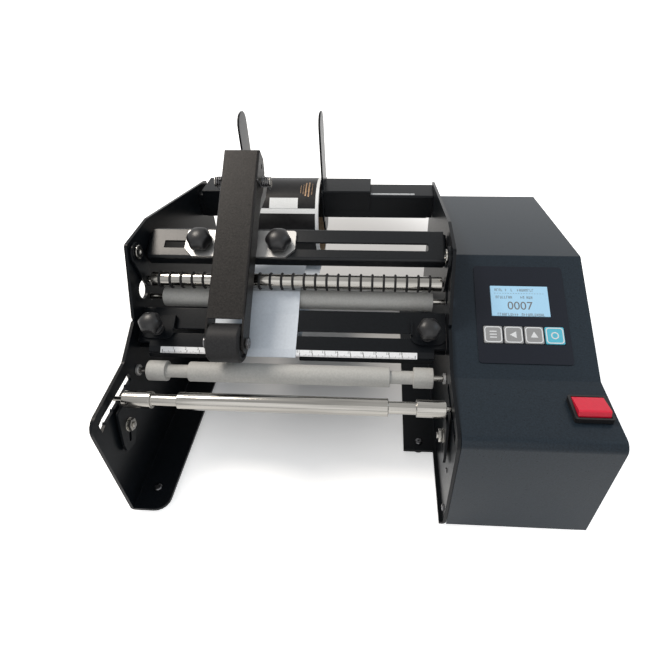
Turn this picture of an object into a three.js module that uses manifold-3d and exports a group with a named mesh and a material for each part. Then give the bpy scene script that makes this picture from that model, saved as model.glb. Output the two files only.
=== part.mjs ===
// Desk-top label applicator: two folded side plates carry the rollers, the peel plate, the slotted
// rail with its sprung pressing arm, and the roll bar; the drive and its display sit in a side housing.
// Millimetres, +X right, +Y to the rear, +Z up. The drawing frame has X = 0 midway between the side
// plates, Y = 0 at their front edge and Z = 0 on the desk; the finished group is then moved so that
// the middle of the machine's footprint is the origin.
import * as THREE from 'three';
import { mergeVertices } from 'three/addons/utils/BufferGeometryUtils.js';
import Module from 'manifold-3d';

const wasm = await Module();
wasm.setup();

// General clearances and sheet
const gap = 0.3;
const overrun = 2;
const sheet = 2.5;
const thinSheet = 1.5;
const bendRadius = 3;

// Side plates
const driveEndHalf = 115;
const driveSideRoom = 7.5;
const plateInnerHalf = driveEndHalf + driveSideRoom;
const plateOuterHalf = plateInnerHalf + sheet;
const plateBottom = 5.5;
const plateFrontTop = 106.5;
const plateKneeY = 60;
const plateKneeZ = 110.5;
const plateNotchY = 91.6;
const plateNotchZ = 127.3;
const plateNotchWidth = 2.6;
const plateNotchDepth = 3.4;
const plateCrestFrontY = 117;
const plateCrestZ = 179.5;
const plateCrestRearY = 159.4;
const plateCrestRearZ = 180.4;
const plateRearY = 309;
const plateRearZ = 151;
const plateFrontRadius = 10;
const plateCornerRadius = 3;
const plateKneeRadius = 8;
const leftFlangeWidth = 27;
const rightFlangeWidth = 28.5;
const flangeCornerRadius = 11;
const rightFlangeFrontY = 67;
const plateWindowY = 119;
const plateWindowZ = 137.5;
const plateWindowRadius = 7.5;

// Toothed slot for the idler
const toothedSlotFrontY = 8.5;
const toothedSlotRearY = 60;
const toothedSlotBottom = 93;
const toothHeight = 1.6;
const toothWidth = 3;
const toothPitch = 12.4;
const toothFirstY = 15.5;
const toothCount = 4;
const idlerPinRadius = 2;

// Idler roller
const idlerY = 36;
const idlerBodyRadius = 6.5;
const idlerBodyHalf = 76.5;
const idlerNeckRadius = 4.6;
const idlerNeckHalf = 96.5;
const idlerCollarRadius = 6.3;
const idlerSideRoom = 5;
const idlerEndHalf = plateInnerHalf - idlerSideRoom;

// Drive roller
const driveY = 71.5;
const driveZ = 92.3;
const driveBodyRadius = 8.45;
const driveBodyHalf = 80.5;
const driveNeckRadius = 5.3;
const driveNeckHalf = 98;
const driveCollarRadius = 8.75;
const driveShaftRadius = 3.25;
const bearingRadius = 6.2;
const bearingThickness = 2;

// Nip roller and pressure roller
const nipY = 127.5;
const nipZ = 124.8;
const nipRadius = 9.3;
const nipSideRoom = 8.8;
const nipHalf = plateInnerHalf - nipSideRoom;
const nipShaftRadius = 3;
const pressureRodRadius = 5.25;
const pressureRingRadius = 7.1;
const pressureRingPitch = 9.1;
const pressureRingWidth = 2.8;
const pressureRingCount = 2 * Math.floor((nipHalf - pressureRingWidth) / pressureRingPitch) + 1;
const pressureSideRoom = 2.9;
const pressureEndHalf = plateInnerHalf - pressureSideRoom;
const pressureStubRadius = 2.5;
const webThickness = 0.3;

// Pressure levers
const leverPivotY = 125;
const leverPivotZ = 169;
const leverThickness = 2;
const leverHeadRadius = 7.6;
const leverFootRadius = 6.4;
const leverHoleRadius = 3;
const leverTailY = 127.1;
const leverTailZ = 134.3;
const leverScrewHeadRadius = 5.5;
const leverScrewHeadHeight = 1.6;

// Link plates
const linkThickness = 2;
const linkStandOff = 1.4;
const linkTopZ = 91.5;
const linkTopFrontY = 25.4;
const linkTopRearY = 38;
const linkElbowY = 17.9;
const linkElbowZ = 65.9;
const linkToeY = 18.1;
const linkToeZ = 57.7;
const linkHeelY = 29.4;
const linkHeelZ = 53.4;
const linkBackY = 37;
const linkBackZ = 62;
const linkRadius = 3;
const linkBoltY = 32;
const linkBoltZ = 73;
const linkBoltRadius = 4.4;
const linkBoltHeight = 3.2;
const linkSlotTopY = 29.6;
const linkSlotTopZ = 67.2;
const linkSlotLowY = 25.7;
const linkSlotLowZ = 60.6;
const linkSlotRadius = 1.6;

// Slotted rail
const railCentreY = 146;
const railCentreZ = 164.5;
const railSlope = 25;
const railHalfWidth = 12.7;
const railFlange = 9.5;
const railEndFlange = 14;
const railSheet = 2;
const railSlotSideRoom = 15;
const railSlotHalf = plateInnerHalf - railSlotSideRoom;
const railSlotWidth = 6.1;
const railReliefWidth = 3;
const railReliefDepth = 4;

// Arm bracket
const armCentreX = -44;
const bracketThickness = 2;
const bracketLeft = 45;
const bracketRight = 45;
const bracketFront = 12.8;
const bracketBack = 12.8;
const bracketCornerX = 7;
const bracketCornerY = 7.5;
const bracketThroat = 5;
const earInner = 15.3;
const earThickness = 1.8;
const earBackFootY = 155.6;
const earWaistY = 175;
const earWaistZ = 180;
const earKneeY = 199;
const earKneeZ = 181;
const earTailY = 213;
const earTailZ = 190;
const earTopY = 203;
const earTopZ = 208.5;
const earCrownY = 176;
const earCrownZ = 211.5;
const earChestY = 164;
const earChestZ = 192;
const earRadius = 4;

// Rail knobs
const leftKnobOffset = -32;
const rightKnobOffset = 32;
const railKnobRadius = 10.2;
const railKnobLobe = 0.9;
const railKnobLobes = 6;
const railKnobGripHeight = 9;
const railKnobCollarRadius = 8.2;
const railKnobCollarHeight = 1.6;
const railKnobDomeRadius = 8.6;
const railKnobDomeHeight = 4.8;
const railKnobStemRadius = 2.7;
const railKnobNutRadius = 5;
const railKnobNutHeight = 3;

// Pressing arm
const armRearY = 192;
const armRearZ = 225.7;
const armFrontY = 78.5;
const armFrontZ = 141.3;
const armWidth = 29;
const armDepth = 17.5;
const armRearDepth = 22;
const armRearStep = 34;
const armRearChamfer = 8;
const armPivotAlong = 22.1;
const armPivotDepth = 12.4;
const armWheelBeyond = 16.1;
const armWheelDepth = 10.8;
const armNoseRadius = 8;
const armHoleRadius = 2;
const armHoleAlong = 9;
const hingeShaftRadius = 3;
const hingeShaftHeadRadius = 4.2;
const hingeShaftHeadLength = 1;

// Torsion springs
const springWireRadius = 0.5;
const springCurls = 4;
const springPitch = 1.5;
const springLegLength = 13;
const springSteps = 8;
const springSides = 5;

// Pressing wheel
const wheelRadius = 14.8;
const wheelEdge = 1.6;
const wheelBoreWall = 2.8;
const wheelAxleRadius = 2.5;
const wheelAxleHeadRadius = 4.6;
const wheelAxleHeadLength = 2.4;
const wheelDishRadius = 11;
const wheelDishDepth = 2;

// Peel plate
const peelSheet = 1.6;
const peelNoseY = 79;
const peelNoseZ = 104;
const peelRulerY = 83.5;
const peelRulerZ = 108;
const peelDeckRearY = 113;
const peelDeckRearZ = 125;
const peelRearFlange = 12;
const peelReturnY = 92;
const peelReturnZ = 102.5;
const peelNoseSideRoom = 9.5;
const peelNoseHalf = plateInnerHalf - peelNoseSideRoom;
const peelShoulderY = 86.5;
const peelSlotAlong = 13.3;
const peelSlotWidth = 4;
const peelSlotSideRoom = 7.5;
const peelSlotHalf = plateInnerHalf - peelSlotSideRoom;

// Web guides
const guideSheet = 1.6;
const guideWidth = 27.5;
const guideFrontAlong = 5.8;
const guideRearAlong = 25.3;
const guideCornerRadius = 7;
const guideRightSideRoom = 28;
const guideLeftSideRoom = 29;
const guideRightInner = plateInnerHalf - guideRightSideRoom;
const guideLeftInner = plateInnerHalf - guideLeftSideRoom;
const guideFence = 7;
const guideKnobX = railSlotHalf;
const guideKnobRadius = 9.2;
const guideKnobHeight = 9;
const guideKnobEdge = 1.2;
const guideKnobLift = 1.5;
const guideStemRadius = 1.7;
const guideStemTop = 3.2;
const guideNutRadius = 3.6;
const guideNutHeight = 2.4;

// Roll bar, guides and roll
const barFrontY = 276;
const barRearY = 307;
const barTopZ = 149;
const barDepth = 24;
const barSheet = 2;
const barChamferX = 4;
const barChamferZ = 8;
const barHoleRadius = 2;
const barHoleSideRoom = 12.5;
const barHoleLeftX = plateInnerHalf - barHoleSideRoom;
const barHoleRightX = 37.5;
const barHoleDrop = 11;
const sleeveThickness = 5;
const sleeveSkirt = 1.5;
const sleeveSkirtDrop = 15;
const rollGuideSheet = 2;
const rollGuideTopZ = 226;
const rollGuideLowZ = 104;
const rollGuideWidth = 30;
const rollGuideTipRadius = 12;
const rollGuideCollarRise = 6;
const rollGuideCollarDrop = 4;
const rollGuideCollarSide = 5;
const leftSleeveSideRoom = 6;
const leftSleeveOuter = plateInnerHalf - leftSleeveSideRoom;
const leftGuideFace = 67.5;
const rightGuideFace = 8;
const rightSleeveOuter = 57.5;
const coreInnerRadius = 38;
const coreWall = 1.4;
const rollWound = 4.1;
const rollOuterRadius = coreInnerRadius + coreWall + rollWound;
const rollWidth = 70;
const rollCentreX = -29.5;
const webWidth = 69.4;
const webExitY = 176;
const webDroopY = 205;
const webDroopZ = 112;

// Housing
const housingWidth = 106;
const housingRight = plateOuterHalf + housingWidth;
const housingWall = 1.5;
const housingShelfZ = 106;
const shelfRearY = 59;
const displayRise = 26.8;
const displayLength = 106;
const housingRearY = 308;
const housingRearTopZ = 136;
const housingFrontRadius = 7;
const housingCornerRadius = 3;
const basePlate = 2;

// Display
const overlayInset = 19.5;
const overlayWidth = 69.2;
const overlayLeft = plateOuterHalf + overlayInset;
const overlayRight = overlayLeft + overlayWidth;
const overlayFront = 12;
const overlayRear = 95;
const overlayThickness = 0.5;
const overlayRadius = 2.5;
const windowInset = 12.2;
const windowWidth = 44.2;
const windowLeft = overlayLeft + windowInset;
const windowRight = windowLeft + windowWidth;
const windowFront = 51;
const windowRear = 77.2;
const windowThickness = 2.2;
const keySize = 14;
const keyInset = 11.7;
const keyFirstX = overlayLeft + keyInset;
const keyPitch = 15.25;
const keyCount = 4;
const keyAlong = 35;
const keyProud = 0.8;
const keyDepth = 3;
const keyRadius = 1;

// Switch
const switchSideRoom = 17;
const switchX = housingRight - switchSideRoom;
const switchY = 30.5;
const bezelWidth = 26;
const bezelLength = 22;
const bezelHeight = 4.2;
const bezelRadius = 1.5;
const bezelBodyWidth = 24.4;
const bezelBodyLength = 20.6;
const bezelBodyDepth = 14;
const bezelFloor = 2;
const rockerWidth = 21.5;
const rockerTopHalf = 8.2;
const rockerTopHeight = 6.25;
const rockerMidHalf = 9.1;
const rockerMidHeight = 2;
const rockerLowHalf = 7.6;
const rockerLowDepth = 3;
const rockerTilt = 11.6;
const rockerPivotDrop = 0;
const rockerPinRadius = 1.2;
const rockerPinLength = 1.1;
const rockerWellSide = 0.5;

// Power inlet
const inletSideRoom = 36;
const inletX = housingRight - inletSideRoom;
const inletZ = 42;
const inletWidth = 50;
const inletHeight = 24;
const inletFlange = 2;
const inletBodyWidth = 30;
const inletBodyHeight = 22;
const inletBodyDepth = 20;
const inletCavityWidth = 25;
const inletCavityHeight = 17;
const inletCavityDepth = 16;
const inletCavityChamfer = 4;
const inletPinWidth = 2;
const inletPinHeight = 4;
const inletPinLength = 10;
const inletPinPitch = 7;
const inletPinRise = 2.5;

// Drive inside the housing
const pulleyStandOff = 15;
const pulleyX = plateOuterHalf + pulleyStandOff;
const pulleyWidth = 9;
const pulleyRadius = 9;
const pulleyFlangeRadius = 11;
const pulleyFlange = 1.2;
const beltThickness = 1.4;
const beltWidth = 6;
const motorY = 112;
const motorZ = 52;
const motorRadius = 20;
const motorLength = 46;
const motorPlate = 3;
const motorPlateHalf = 26;
const motorPlateTop = 76;
const motorStandOff = 11;
const motorX = pulleyX + motorStandOff;
const motorShaftRadius = 2.5;
const boardThickness = 1.6;
const boardDrop = 12;
const boardMargin = 4;
const boardPostRadius = 3;
const supplyInset = 25;
const supplyWidth = 68;
const supplyLeft = plateOuterHalf + supplyInset;
const supplyRight = supplyLeft + supplyWidth;
const supplyFront = 176;
const supplyRear = 270;
const supplyHeight = 38;
const supplyFinHeight = 5;
const supplyFinWidth = 3;
const supplyFinPitch = 9;
const supplyFinCount = 9;

// Feet
const footRadius = 7;
const footLowRadius = 6;
const footHollowRadius = 3;
const footHollowDepth = 2;
const leftFootRoom = 16;
const middleFootRoom = 17.5;
const rightFootRoom = 14;
const leftFootX = leftFootRoom - plateOuterHalf;
const middleFootX = plateOuterHalf - middleFootRoom;
const rightFootX = housingRight - rightFootRoom;
const frontFootY = 19.4;
const middleFootY = 76;
const rearFootY = 290;

// Facet counts
const fineSides = 28;
const linkBoltSides = 6;
const coreSides = 44;
const fenceShare = 0.35;
const webStartShare = 0.1;
const webUnderShare = 2;
const webNoseShare = 2;
const webDeckShare = 0.86;
const ringSides = 14;
const lobeSteps = 6;
const ringCrownShare = 0.45;
const domeLowShare = 0.45;
const domeLowRadiusShare = 0.86;
const domeHighShare = 0.82;
const domeHighRadiusShare = 0.5;
const springStartShare = 0.62;
const springShortLegShare = 0.45;
const midSides = 20;
const smallSides = 12;
const filletSteps = 4;
const half = 0.5;
const mergeTolerance = 0.0001;
const flatAngle = 0.0001;
const cornerRoomShare = 0.49;
const turn = Math.PI * 2;
const radian = Math.PI / 180;

// Colours
const blackPaint = { color: 0x1a1b1d, roughness: 0.55, metalness: 0.1 };
const satinBlack = { color: 0x222222, roughness: 0.4, metalness: 0.1 };
const steel = { color: 0xc4c6c8, roughness: 0.2, metalness: 1 };
const zinc = { color: 0xaeb1b3, roughness: 0.35, metalness: 0.9 };
const grayRubber = { color: 0xa9aaa5, roughness: 0.75, metalness: 0 };
const blackRubber = { color: 0x141414, roughness: 0.8, metalness: 0 };
const screenGlass = { color: 0xa5d2f0, roughness: 0.1, metalness: 0 };
const overlayFilm = { color: 0x14161e, roughness: 0.35, metalness: 0 };
const grayKey = { color: 0x8d9094, roughness: 0.5, metalness: 0 };
const blueKey = { color: 0x46afcd, roughness: 0.5, metalness: 0 };
const redPlastic = { color: 0xe12d46, roughness: 0.35, metalness: 0 };
const paleWeb = { color: 0xdce6ee, roughness: 0.6, metalness: 0 };
const labelBlack = { color: 0x1b1a1a, roughness: 0.4, metalness: 0 };
const boardGreen = { color: 0x1d5a36, roughness: 0.5, metalness: 0 };
const coreBoard = { color: 0xb08a5c, roughness: 0.9, metalness: 0 };

// Shape helpers

function toSolid(geometry) {
  const bare = geometry.index ? geometry.toNonIndexed() : geometry.clone();
  bare.deleteAttribute('normal');
  bare.deleteAttribute('uv');
  const merged = mergeVertices(bare, mergeTolerance);
  const places = merged.attributes.position;
  const kept = [];
  let volume = 0;
  for (let i = 0; i < merged.index.count; i += 3) {
    const [a, b, c] = [merged.index.getX(i), merged.index.getX(i + 1), merged.index.getX(i + 2)];
    if (a === b || b === c || c === a) continue;
    kept.push([a, b, c]);
    const [p, q, r] = [a, b, c].map((k) => new THREE.Vector3().fromBufferAttribute(places, k));
    volume += p.dot(q.cross(r));
  }
  const facing = volume < 0 ? kept.map(([a, b, c]) => [a, c, b]) : kept;
  return new wasm.Manifold(new wasm.Mesh({
    numProp: 3,
    vertProperties: new Float32Array(places.array),
    triVerts: new Uint32Array(facing.flat()),
  }));
}

function toGeometry(solid) {
  const mesh = solid.getMesh();
  const count = mesh.vertProperties.length / mesh.numProp;
  const points = new Float32Array(count * 3);
  for (let i = 0; i < count; i += 1) {
    for (let k = 0; k < 3; k += 1) points[i * 3 + k] = mesh.vertProperties[i * mesh.numProp + k];
  }
  const geometry = new THREE.BufferGeometry();
  geometry.setAttribute('position', new THREE.BufferAttribute(points, 3));
  geometry.setIndex(new THREE.BufferAttribute(new Uint32Array(mesh.triVerts), 1));
  geometry.computeVertexNormals();
  return geometry;
}

// Outline with rounded corners: each point is [x, y] or [x, y, radius].
function roundedOutline(points) {
  const out = [];
  const n = points.length;
  for (let i = 0; i < n; i += 1) {
    const here = new THREE.Vector2(points[i][0], points[i][1]);
    const radius = points[i][2] || 0;
    const before = new THREE.Vector2(points[(i + n - 1) % n][0], points[(i + n - 1) % n][1]).sub(here);
    const after = new THREE.Vector2(points[(i + 1) % n][0], points[(i + 1) % n][1]).sub(here);
    const lengthBefore = before.length();
    const lengthAfter = after.length();
    before.normalize();
    after.normalize();
    const angle = Math.acos(THREE.MathUtils.clamp(before.dot(after), -1, 1));
    const straight = Math.abs(Math.PI - angle) < flatAngle;
    if (!radius || straight) {
      out.push(here);
      continue;
    }
    const room = Math.min(lengthBefore, lengthAfter) * cornerRoomShare;
    const reach = Math.min(radius / Math.tan(angle * half), room);
    const r = reach * Math.tan(angle * half);
    const bisector = before.clone().add(after).normalize();
    const centre = here.clone().add(bisector.multiplyScalar(r / Math.sin(angle * half)));
    const start = here.clone().addScaledVector(before, reach).sub(centre);
    const end = here.clone().addScaledVector(after, reach).sub(centre);
    const a0 = Math.atan2(start.y, start.x);
    let sweep = Math.atan2(end.y, end.x) - a0;
    if (sweep > Math.PI) sweep -= turn;
    if (sweep < -Math.PI) sweep += turn;
    const steps = Math.max(2, Math.ceil((Math.abs(sweep) / (Math.PI * half)) * filletSteps));
    for (let k = 0; k <= steps; k += 1) {
      const a = a0 + (sweep * k) / steps;
      out.push(new THREE.Vector2(centre.x + r * Math.cos(a), centre.y + r * Math.sin(a)));
    }
  }
  return out;
}

function circlePoints(x, y, radius, sides) {
  const out = [];
  for (let k = 0; k < sides; k += 1) {
    const a = (turn * (k + half)) / sides;
    out.push([x + radius * Math.cos(a), y + radius * Math.sin(a)]);
  }
  return out;
}

function prism(points, depth, holes = []) {
  const shape = new THREE.Shape(roundedOutline(points));
  for (const hole of holes) shape.holes.push(new THREE.Path(roundedOutline(hole)));
  return new THREE.ExtrudeGeometry(shape, { depth, bevelEnabled: false });
}

// Outline given in (y, z), reaching from x0 to x1.
function across(points, x0, x1, holes = []) {
  const geometry = prism(points, x1 - x0, holes);
  const basis = new THREE.Matrix4().makeBasis(
    new THREE.Vector3(0, 1, 0),
    new THREE.Vector3(0, 0, 1),
    new THREE.Vector3(1, 0, 0),
  );
  return geometry.applyMatrix4(basis).translate(x0, 0, 0);
}

// Outline given in (x, z), reaching from y0 back to y1.
function along(points, y0, y1, holes = []) {
  const geometry = prism(points, y1 - y0, holes);
  return geometry.rotateX(Math.PI * half).translate(0, y1, 0);
}

// Outline given in (x, y), reaching from z0 up to z1.
function upright(points, z0, z1, holes = []) {
  return prism(points, z1 - z0, holes).translate(0, 0, z0);
}

function rectangle(x0, x1, y0, y1, radius = 0) {
  return [[x0, y0, radius], [x1, y0, radius], [x1, y1, radius], [x0, y1, radius]];
}

function block(x0, x1, y0, y1, z0, z1) {
  return new THREE.BoxGeometry(x1 - x0, y1 - y0, z1 - z0)
    .translate((x0 + x1) * half, (y0 + y1) * half, (z0 + z1) * half);
}

// Turned piece about the X axis through (y, z); profile holds [x, radius] pairs.
function turned(profile, y, z, sides) {
  const points = profile.map(([x, r]) => new THREE.Vector2(r, x));
  const geometry = new THREE.LatheGeometry(points, sides);
  return geometry.rotateZ(-Math.PI * half).translate(0, y, z);
}

// Turned piece about +Z; profile holds [z, radius] pairs.
function spun(profile, sides) {
  const points = profile.map(([z, r]) => new THREE.Vector2(r, z));
  return new THREE.LatheGeometry(points, sides).rotateX(Math.PI * half);
}

// Closed section of a folded sheet that follows a line and is thick on its left side.
function folded(line, thickness, radius) {
  const left = [];
  for (let i = 0; i < line.length; i += 1) {
    const here = new THREE.Vector2(...line[i]);
    const into = i > 0 ? here.clone().sub(new THREE.Vector2(...line[i - 1])).normalize() : null;
    const away = i < line.length - 1 ? new THREE.Vector2(...line[i + 1]).sub(here).normalize() : null;
    const first = into || away;
    const second = away || into;
    const n0 = new THREE.Vector2(-first.y, first.x);
    const n1 = new THREE.Vector2(-second.y, second.x);
    const mid = n0.clone().add(n1).normalize();
    const stretch = thickness / mid.dot(n1);
    const bend = first.x * second.y - first.y * second.x;
    const p = here.clone().addScaledVector(mid, stretch);
    const inner = Math.max(radius - thickness, 0);
    const sharp = Math.abs(bend) < flatAngle;
    left.push([p.x, p.y, sharp ? 0 : bend > 0 ? inner : radius, sharp ? 0 : bend > 0 ? radius : inner]);
  }
  const right = line.map((p, i) => [p[0], p[1], left[i][3]]);
  return right.concat(left.map((p) => [p[0], p[1], p[2]]).reverse());
}

const group = new THREE.Group();
const drawing = new THREE.Group();
group.add(drawing);

function place(name, source, look, parent = drawing) {
  const geometry = source.isBufferGeometry ? toGeometry(toSolid(source)) : toGeometry(source);
  const mesh = new THREE.Mesh(geometry, new THREE.MeshStandardMaterial(look));
  mesh.name = name;
  parent.add(mesh);
  return mesh;
}

function joined(...pieces) {
  return pieces.map((p) => (p.isBufferGeometry ? toSolid(p) : p)).reduce((a, b) => a.add(b));
}

function cut(body, ...tools) {
  const start = body.isBufferGeometry ? toSolid(body) : body;
  return tools.reduce((a, t) => a.subtract(t.isBufferGeometry ? toSolid(t) : t), start);
}

function common(a, b) {
  return (a.isBufferGeometry ? toSolid(a) : a).intersect(b.isBufferGeometry ? toSolid(b) : b);
}

// Frame lying on a slope: x stays, y runs up the slope, z stands off it.
function slopeFrame(y, z, degrees) {
  const frame = new THREE.Group();
  frame.position.set(0, y, z);
  frame.rotation.x = degrees * radian;
  drawing.add(frame);
  return frame;
}

function onSlope(geometry, y, z, degrees) {
  return geometry.rotateX(degrees * radian).translate(0, y, z);
}

// Places worked out from the sizes
const idlerZ = toothedSlotBottom + toothHeight + gap + idlerPinRadius;
const toothedSlotTop = idlerZ + idlerPinRadius + gap;
const pressureY = nipY;
const pressureZ = nipZ + nipRadius + gap + webThickness + gap + pressureRingRadius;
const leverOuter = plateInnerHalf - gap;
const leverInner = leverOuter - leverThickness;
const linkOuter = plateInnerHalf - gap - linkStandOff;
const linkInner = linkOuter - linkThickness;
const housingLeft = plateOuterHalf + gap;
const shelfFoldZ = housingShelfZ;
const displayRearY = shelfRearY + displayLength * Math.cos(displayRise * radian);
const displayRearZ = housingShelfZ + displayLength * Math.sin(displayRise * radian);
const armSpan = new THREE.Vector2(armRearY - armFrontY, armRearZ - armFrontZ);
const armLength = armSpan.length();
const armSlope = Math.atan2(armSpan.y, armSpan.x);
const armPoint = (a, depth) => [
  armRearY - a * Math.cos(armSlope) + depth * Math.sin(armSlope),
  armRearZ - a * Math.sin(armSlope) - depth * Math.cos(armSlope),
];
const [pivotY, pivotZ] = armPoint(armPivotAlong, armPivotDepth);
const [axleY, axleZ] = armPoint(armLength + armWheelBeyond, armWheelDepth);
const barCentreY = (barFrontY + barRearY) * half;
const barHalf = (barRearY - barFrontY) * half;
const rollZ = barTopZ - Math.sqrt((coreInnerRadius - gap) ** 2 - barHalf ** 2);
const deckSlope = Math.atan2(peelDeckRearZ - peelRulerZ, peelDeckRearY - peelRulerY) / radian;
const railFaceCos = Math.cos(railSlope * radian);
const railFaceSin = Math.sin(railSlope * radian);

// Side plates
function plateOutline() {
  return [
    [0, plateBottom],
    [0, plateFrontTop, plateFrontRadius],
    [plateKneeY, plateKneeZ, plateKneeRadius],
    [plateNotchY - plateNotchWidth * half, plateNotchZ - plateNotchWidth * half],
    [plateNotchY + plateNotchDepth * half, plateNotchZ - plateNotchDepth * half],
    [plateNotchY + plateNotchWidth * half, plateNotchZ + plateNotchWidth * half],
    [plateCrestFrontY, plateCrestZ, plateCornerRadius],
    [plateCrestRearY, plateCrestRearZ, plateCornerRadius],
    [plateRearY, plateRearZ, plateCornerRadius],
    [plateRearY, plateBottom, plateCornerRadius],
  ];
}

function toothedSlot() {
  const points = [[toothedSlotFrontY, toothedSlotTop, idlerPinRadius]];
  points.push([toothedSlotFrontY, toothedSlotBottom]);
  for (let k = 0; k < toothCount; k += 1) {
    const y = toothFirstY + k * toothPitch;
    points.push([y - toothWidth * half, toothedSlotBottom]);
    points.push([y, toothedSlotBottom + toothHeight]);
    points.push([y + toothWidth * half, toothedSlotBottom]);
  }
  points.push([toothedSlotRearY, toothedSlotBottom]);
  points.push([toothedSlotRearY, toothedSlotTop, idlerPinRadius]);
  return points;
}

function sidePlate(side, flangeWidth, flangeFront) {
  const wallLine = [
    [side * plateOuterHalf, plateCrestRearZ + sheet],
    [side * plateOuterHalf, plateBottom],
    [side * (plateInnerHalf - flangeWidth), plateBottom],
  ];
  const line = side < 0 ? wallLine : wallLine.reverse();
  const section = along(folded(line, sheet, bendRadius), 0, plateRearY);
  const wall = across(plateOutline(), -plateOuterHalf - overrun, plateOuterHalf + overrun);
  const outer = side * (plateOuterHalf + overrun);
  const inner = side * (plateInnerHalf - flangeWidth);
  const plan = flangeFront > 0
    ? joined(
      upright(rectangle(
        Math.min(outer, inner),
        Math.max(outer, inner),
        flangeFront,
        plateRearY + overrun,
      ), 0, plateCrestRearZ + overrun),
      block(
        Math.min(outer, side * (plateInnerHalf - bendRadius)),
        Math.max(outer, side * (plateInnerHalf - bendRadius)),
        -overrun,
        flangeFront + overrun,
        0,
        plateCrestRearZ + overrun,
      ),
    )
    : toSolid(upright([
      [outer, 0],
      [outer, plateRearY + overrun],
      [inner, plateRearY + overrun],
      [inner, 0, flangeCornerRadius],
    ], 0, plateCrestRearZ + overrun));
  const near = side * (plateInnerHalf - overrun);
  const far = side * (plateOuterHalf + overrun);
  const x0 = Math.min(near, far);
  const x1 = Math.max(near, far);
  const openings = [
    across(toothedSlot(), x0, x1),
    across(circlePoints(plateWindowY, plateWindowZ, plateWindowRadius, midSides), x0, x1),
    across(circlePoints(leverPivotY, leverPivotZ, leverHoleRadius + gap, midSides), x0, x1),
    across(circlePoints(driveY, driveZ, driveShaftRadius + gap, midSides), x0, x1),
    across(circlePoints(nipY, nipZ, nipShaftRadius + gap, midSides), x0, x1),
  ];
  return cut(common(common(section, wall), plan), ...openings);
}

place('left_side_plate', sidePlate(-1, leftFlangeWidth, 0), blackPaint);
place('right_side_plate', sidePlate(1, rightFlangeWidth, rightFlangeFrontY), blackPaint);

// Link plates, each with its hex bolt and stand-off
function linkPlate(side) {
  const outline = [
    [linkTopFrontY, linkTopZ, linkRadius],
    [linkElbowY, linkElbowZ, linkRadius],
    [linkToeY, linkToeZ, linkRadius],
    [linkHeelY, linkHeelZ, linkRadius],
    [linkBackY, linkBackZ, linkRadius],
    [linkTopRearY, linkTopZ, linkRadius],
  ];
  const dy = linkSlotTopY - linkSlotLowY;
  const dz = linkSlotTopZ - linkSlotLowZ;
  const share = linkSlotRadius / Math.hypot(dy, dz);
  const slot = [
    [linkSlotTopY - dz * share, linkSlotTopZ + dy * share, linkSlotRadius],
    [linkSlotLowY - dz * share, linkSlotLowZ + dy * share, linkSlotRadius],
    [linkSlotLowY + dz * share, linkSlotLowZ - dy * share, linkSlotRadius],
    [linkSlotTopY + dz * share, linkSlotTopZ - dy * share, linkSlotRadius],
  ];
  const sheetBody = cut(
    across(outline, linkInner, linkOuter),
    across(slot, linkInner - overrun, linkOuter + overrun),
  );
  const bolt = turned([
    [linkInner - linkBoltHeight, 0],
    [linkInner - linkBoltHeight, linkBoltRadius],
    [linkInner + linkThickness * half, linkBoltRadius],
    [linkInner + linkThickness * half, linkBoltRadius],
    [plateInnerHalf - gap, linkBoltRadius],
    [plateInnerHalf - gap, 0],
  ], linkBoltY, linkBoltZ, linkBoltSides);
  const piece = joined(sheetBody, bolt);
  return side > 0 ? piece : piece.mirror([1, 0, 0]);
}

place('left_link_plate', linkPlate(-1), blackPaint);
place('right_link_plate', linkPlate(1), blackPaint);

// Slotted rail
function slottedRail() {
  const reach = plateInnerHalf - gap;
  const line = [
    [railHalfWidth, -railFlange],
    [railHalfWidth, 0],
    [-railHalfWidth, 0],
    [-railHalfWidth, -railFlange],
  ];
  const channel = across(folded(line, railSheet, railSheet + gap), -reach, reach);
  const endLine = [
    [-reach, -railEndFlange],
    [-reach, 0],
    [reach, 0],
    [reach, -railEndFlange],
  ].reverse();
  const endHalf = railHalfWidth - railReliefDepth;
  const ends = along(folded(endLine, railSheet, bendRadius), -endHalf, endHalf);
  const flangeRoom = reach - railSheet - railReliefWidth;
  const relief = (x0, x1, y0, y1) => block(x0, x1, y0, y1, -railEndFlange - overrun, overrun);
  const cornerY0 = railHalfWidth - railReliefDepth;
  const cornerY1 = railHalfWidth + overrun;
  const corners = [
    relief(flangeRoom, reach + overrun, cornerY0, cornerY1),
    relief(-reach - overrun, -flangeRoom, cornerY0, cornerY1),
    relief(flangeRoom, reach + overrun, -cornerY1, -cornerY0),
    relief(-reach - overrun, -flangeRoom, -cornerY1, -cornerY0),
  ];
  const slot = upright(
    rectangle(-railSlotHalf, railSlotHalf, -railSlotWidth * half, railSlotWidth * half, railSlotWidth * half),
    -railFlange,
    overrun,
  );
  const envelope = along([
    [-reach, -railEndFlange],
    [reach, -railEndFlange],
    [reach, 0, bendRadius],
    [-reach, 0, bendRadius],
  ], -railHalfWidth - overrun, railHalfWidth + overrun);
  return cut(common(cut(joined(channel, ends), ...corners), envelope), slot);
}

const railFrame = slopeFrame(railCentreY, railCentreZ, railSlope);
place('slotted_rail', slottedRail(), blackPaint, railFrame);

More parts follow.
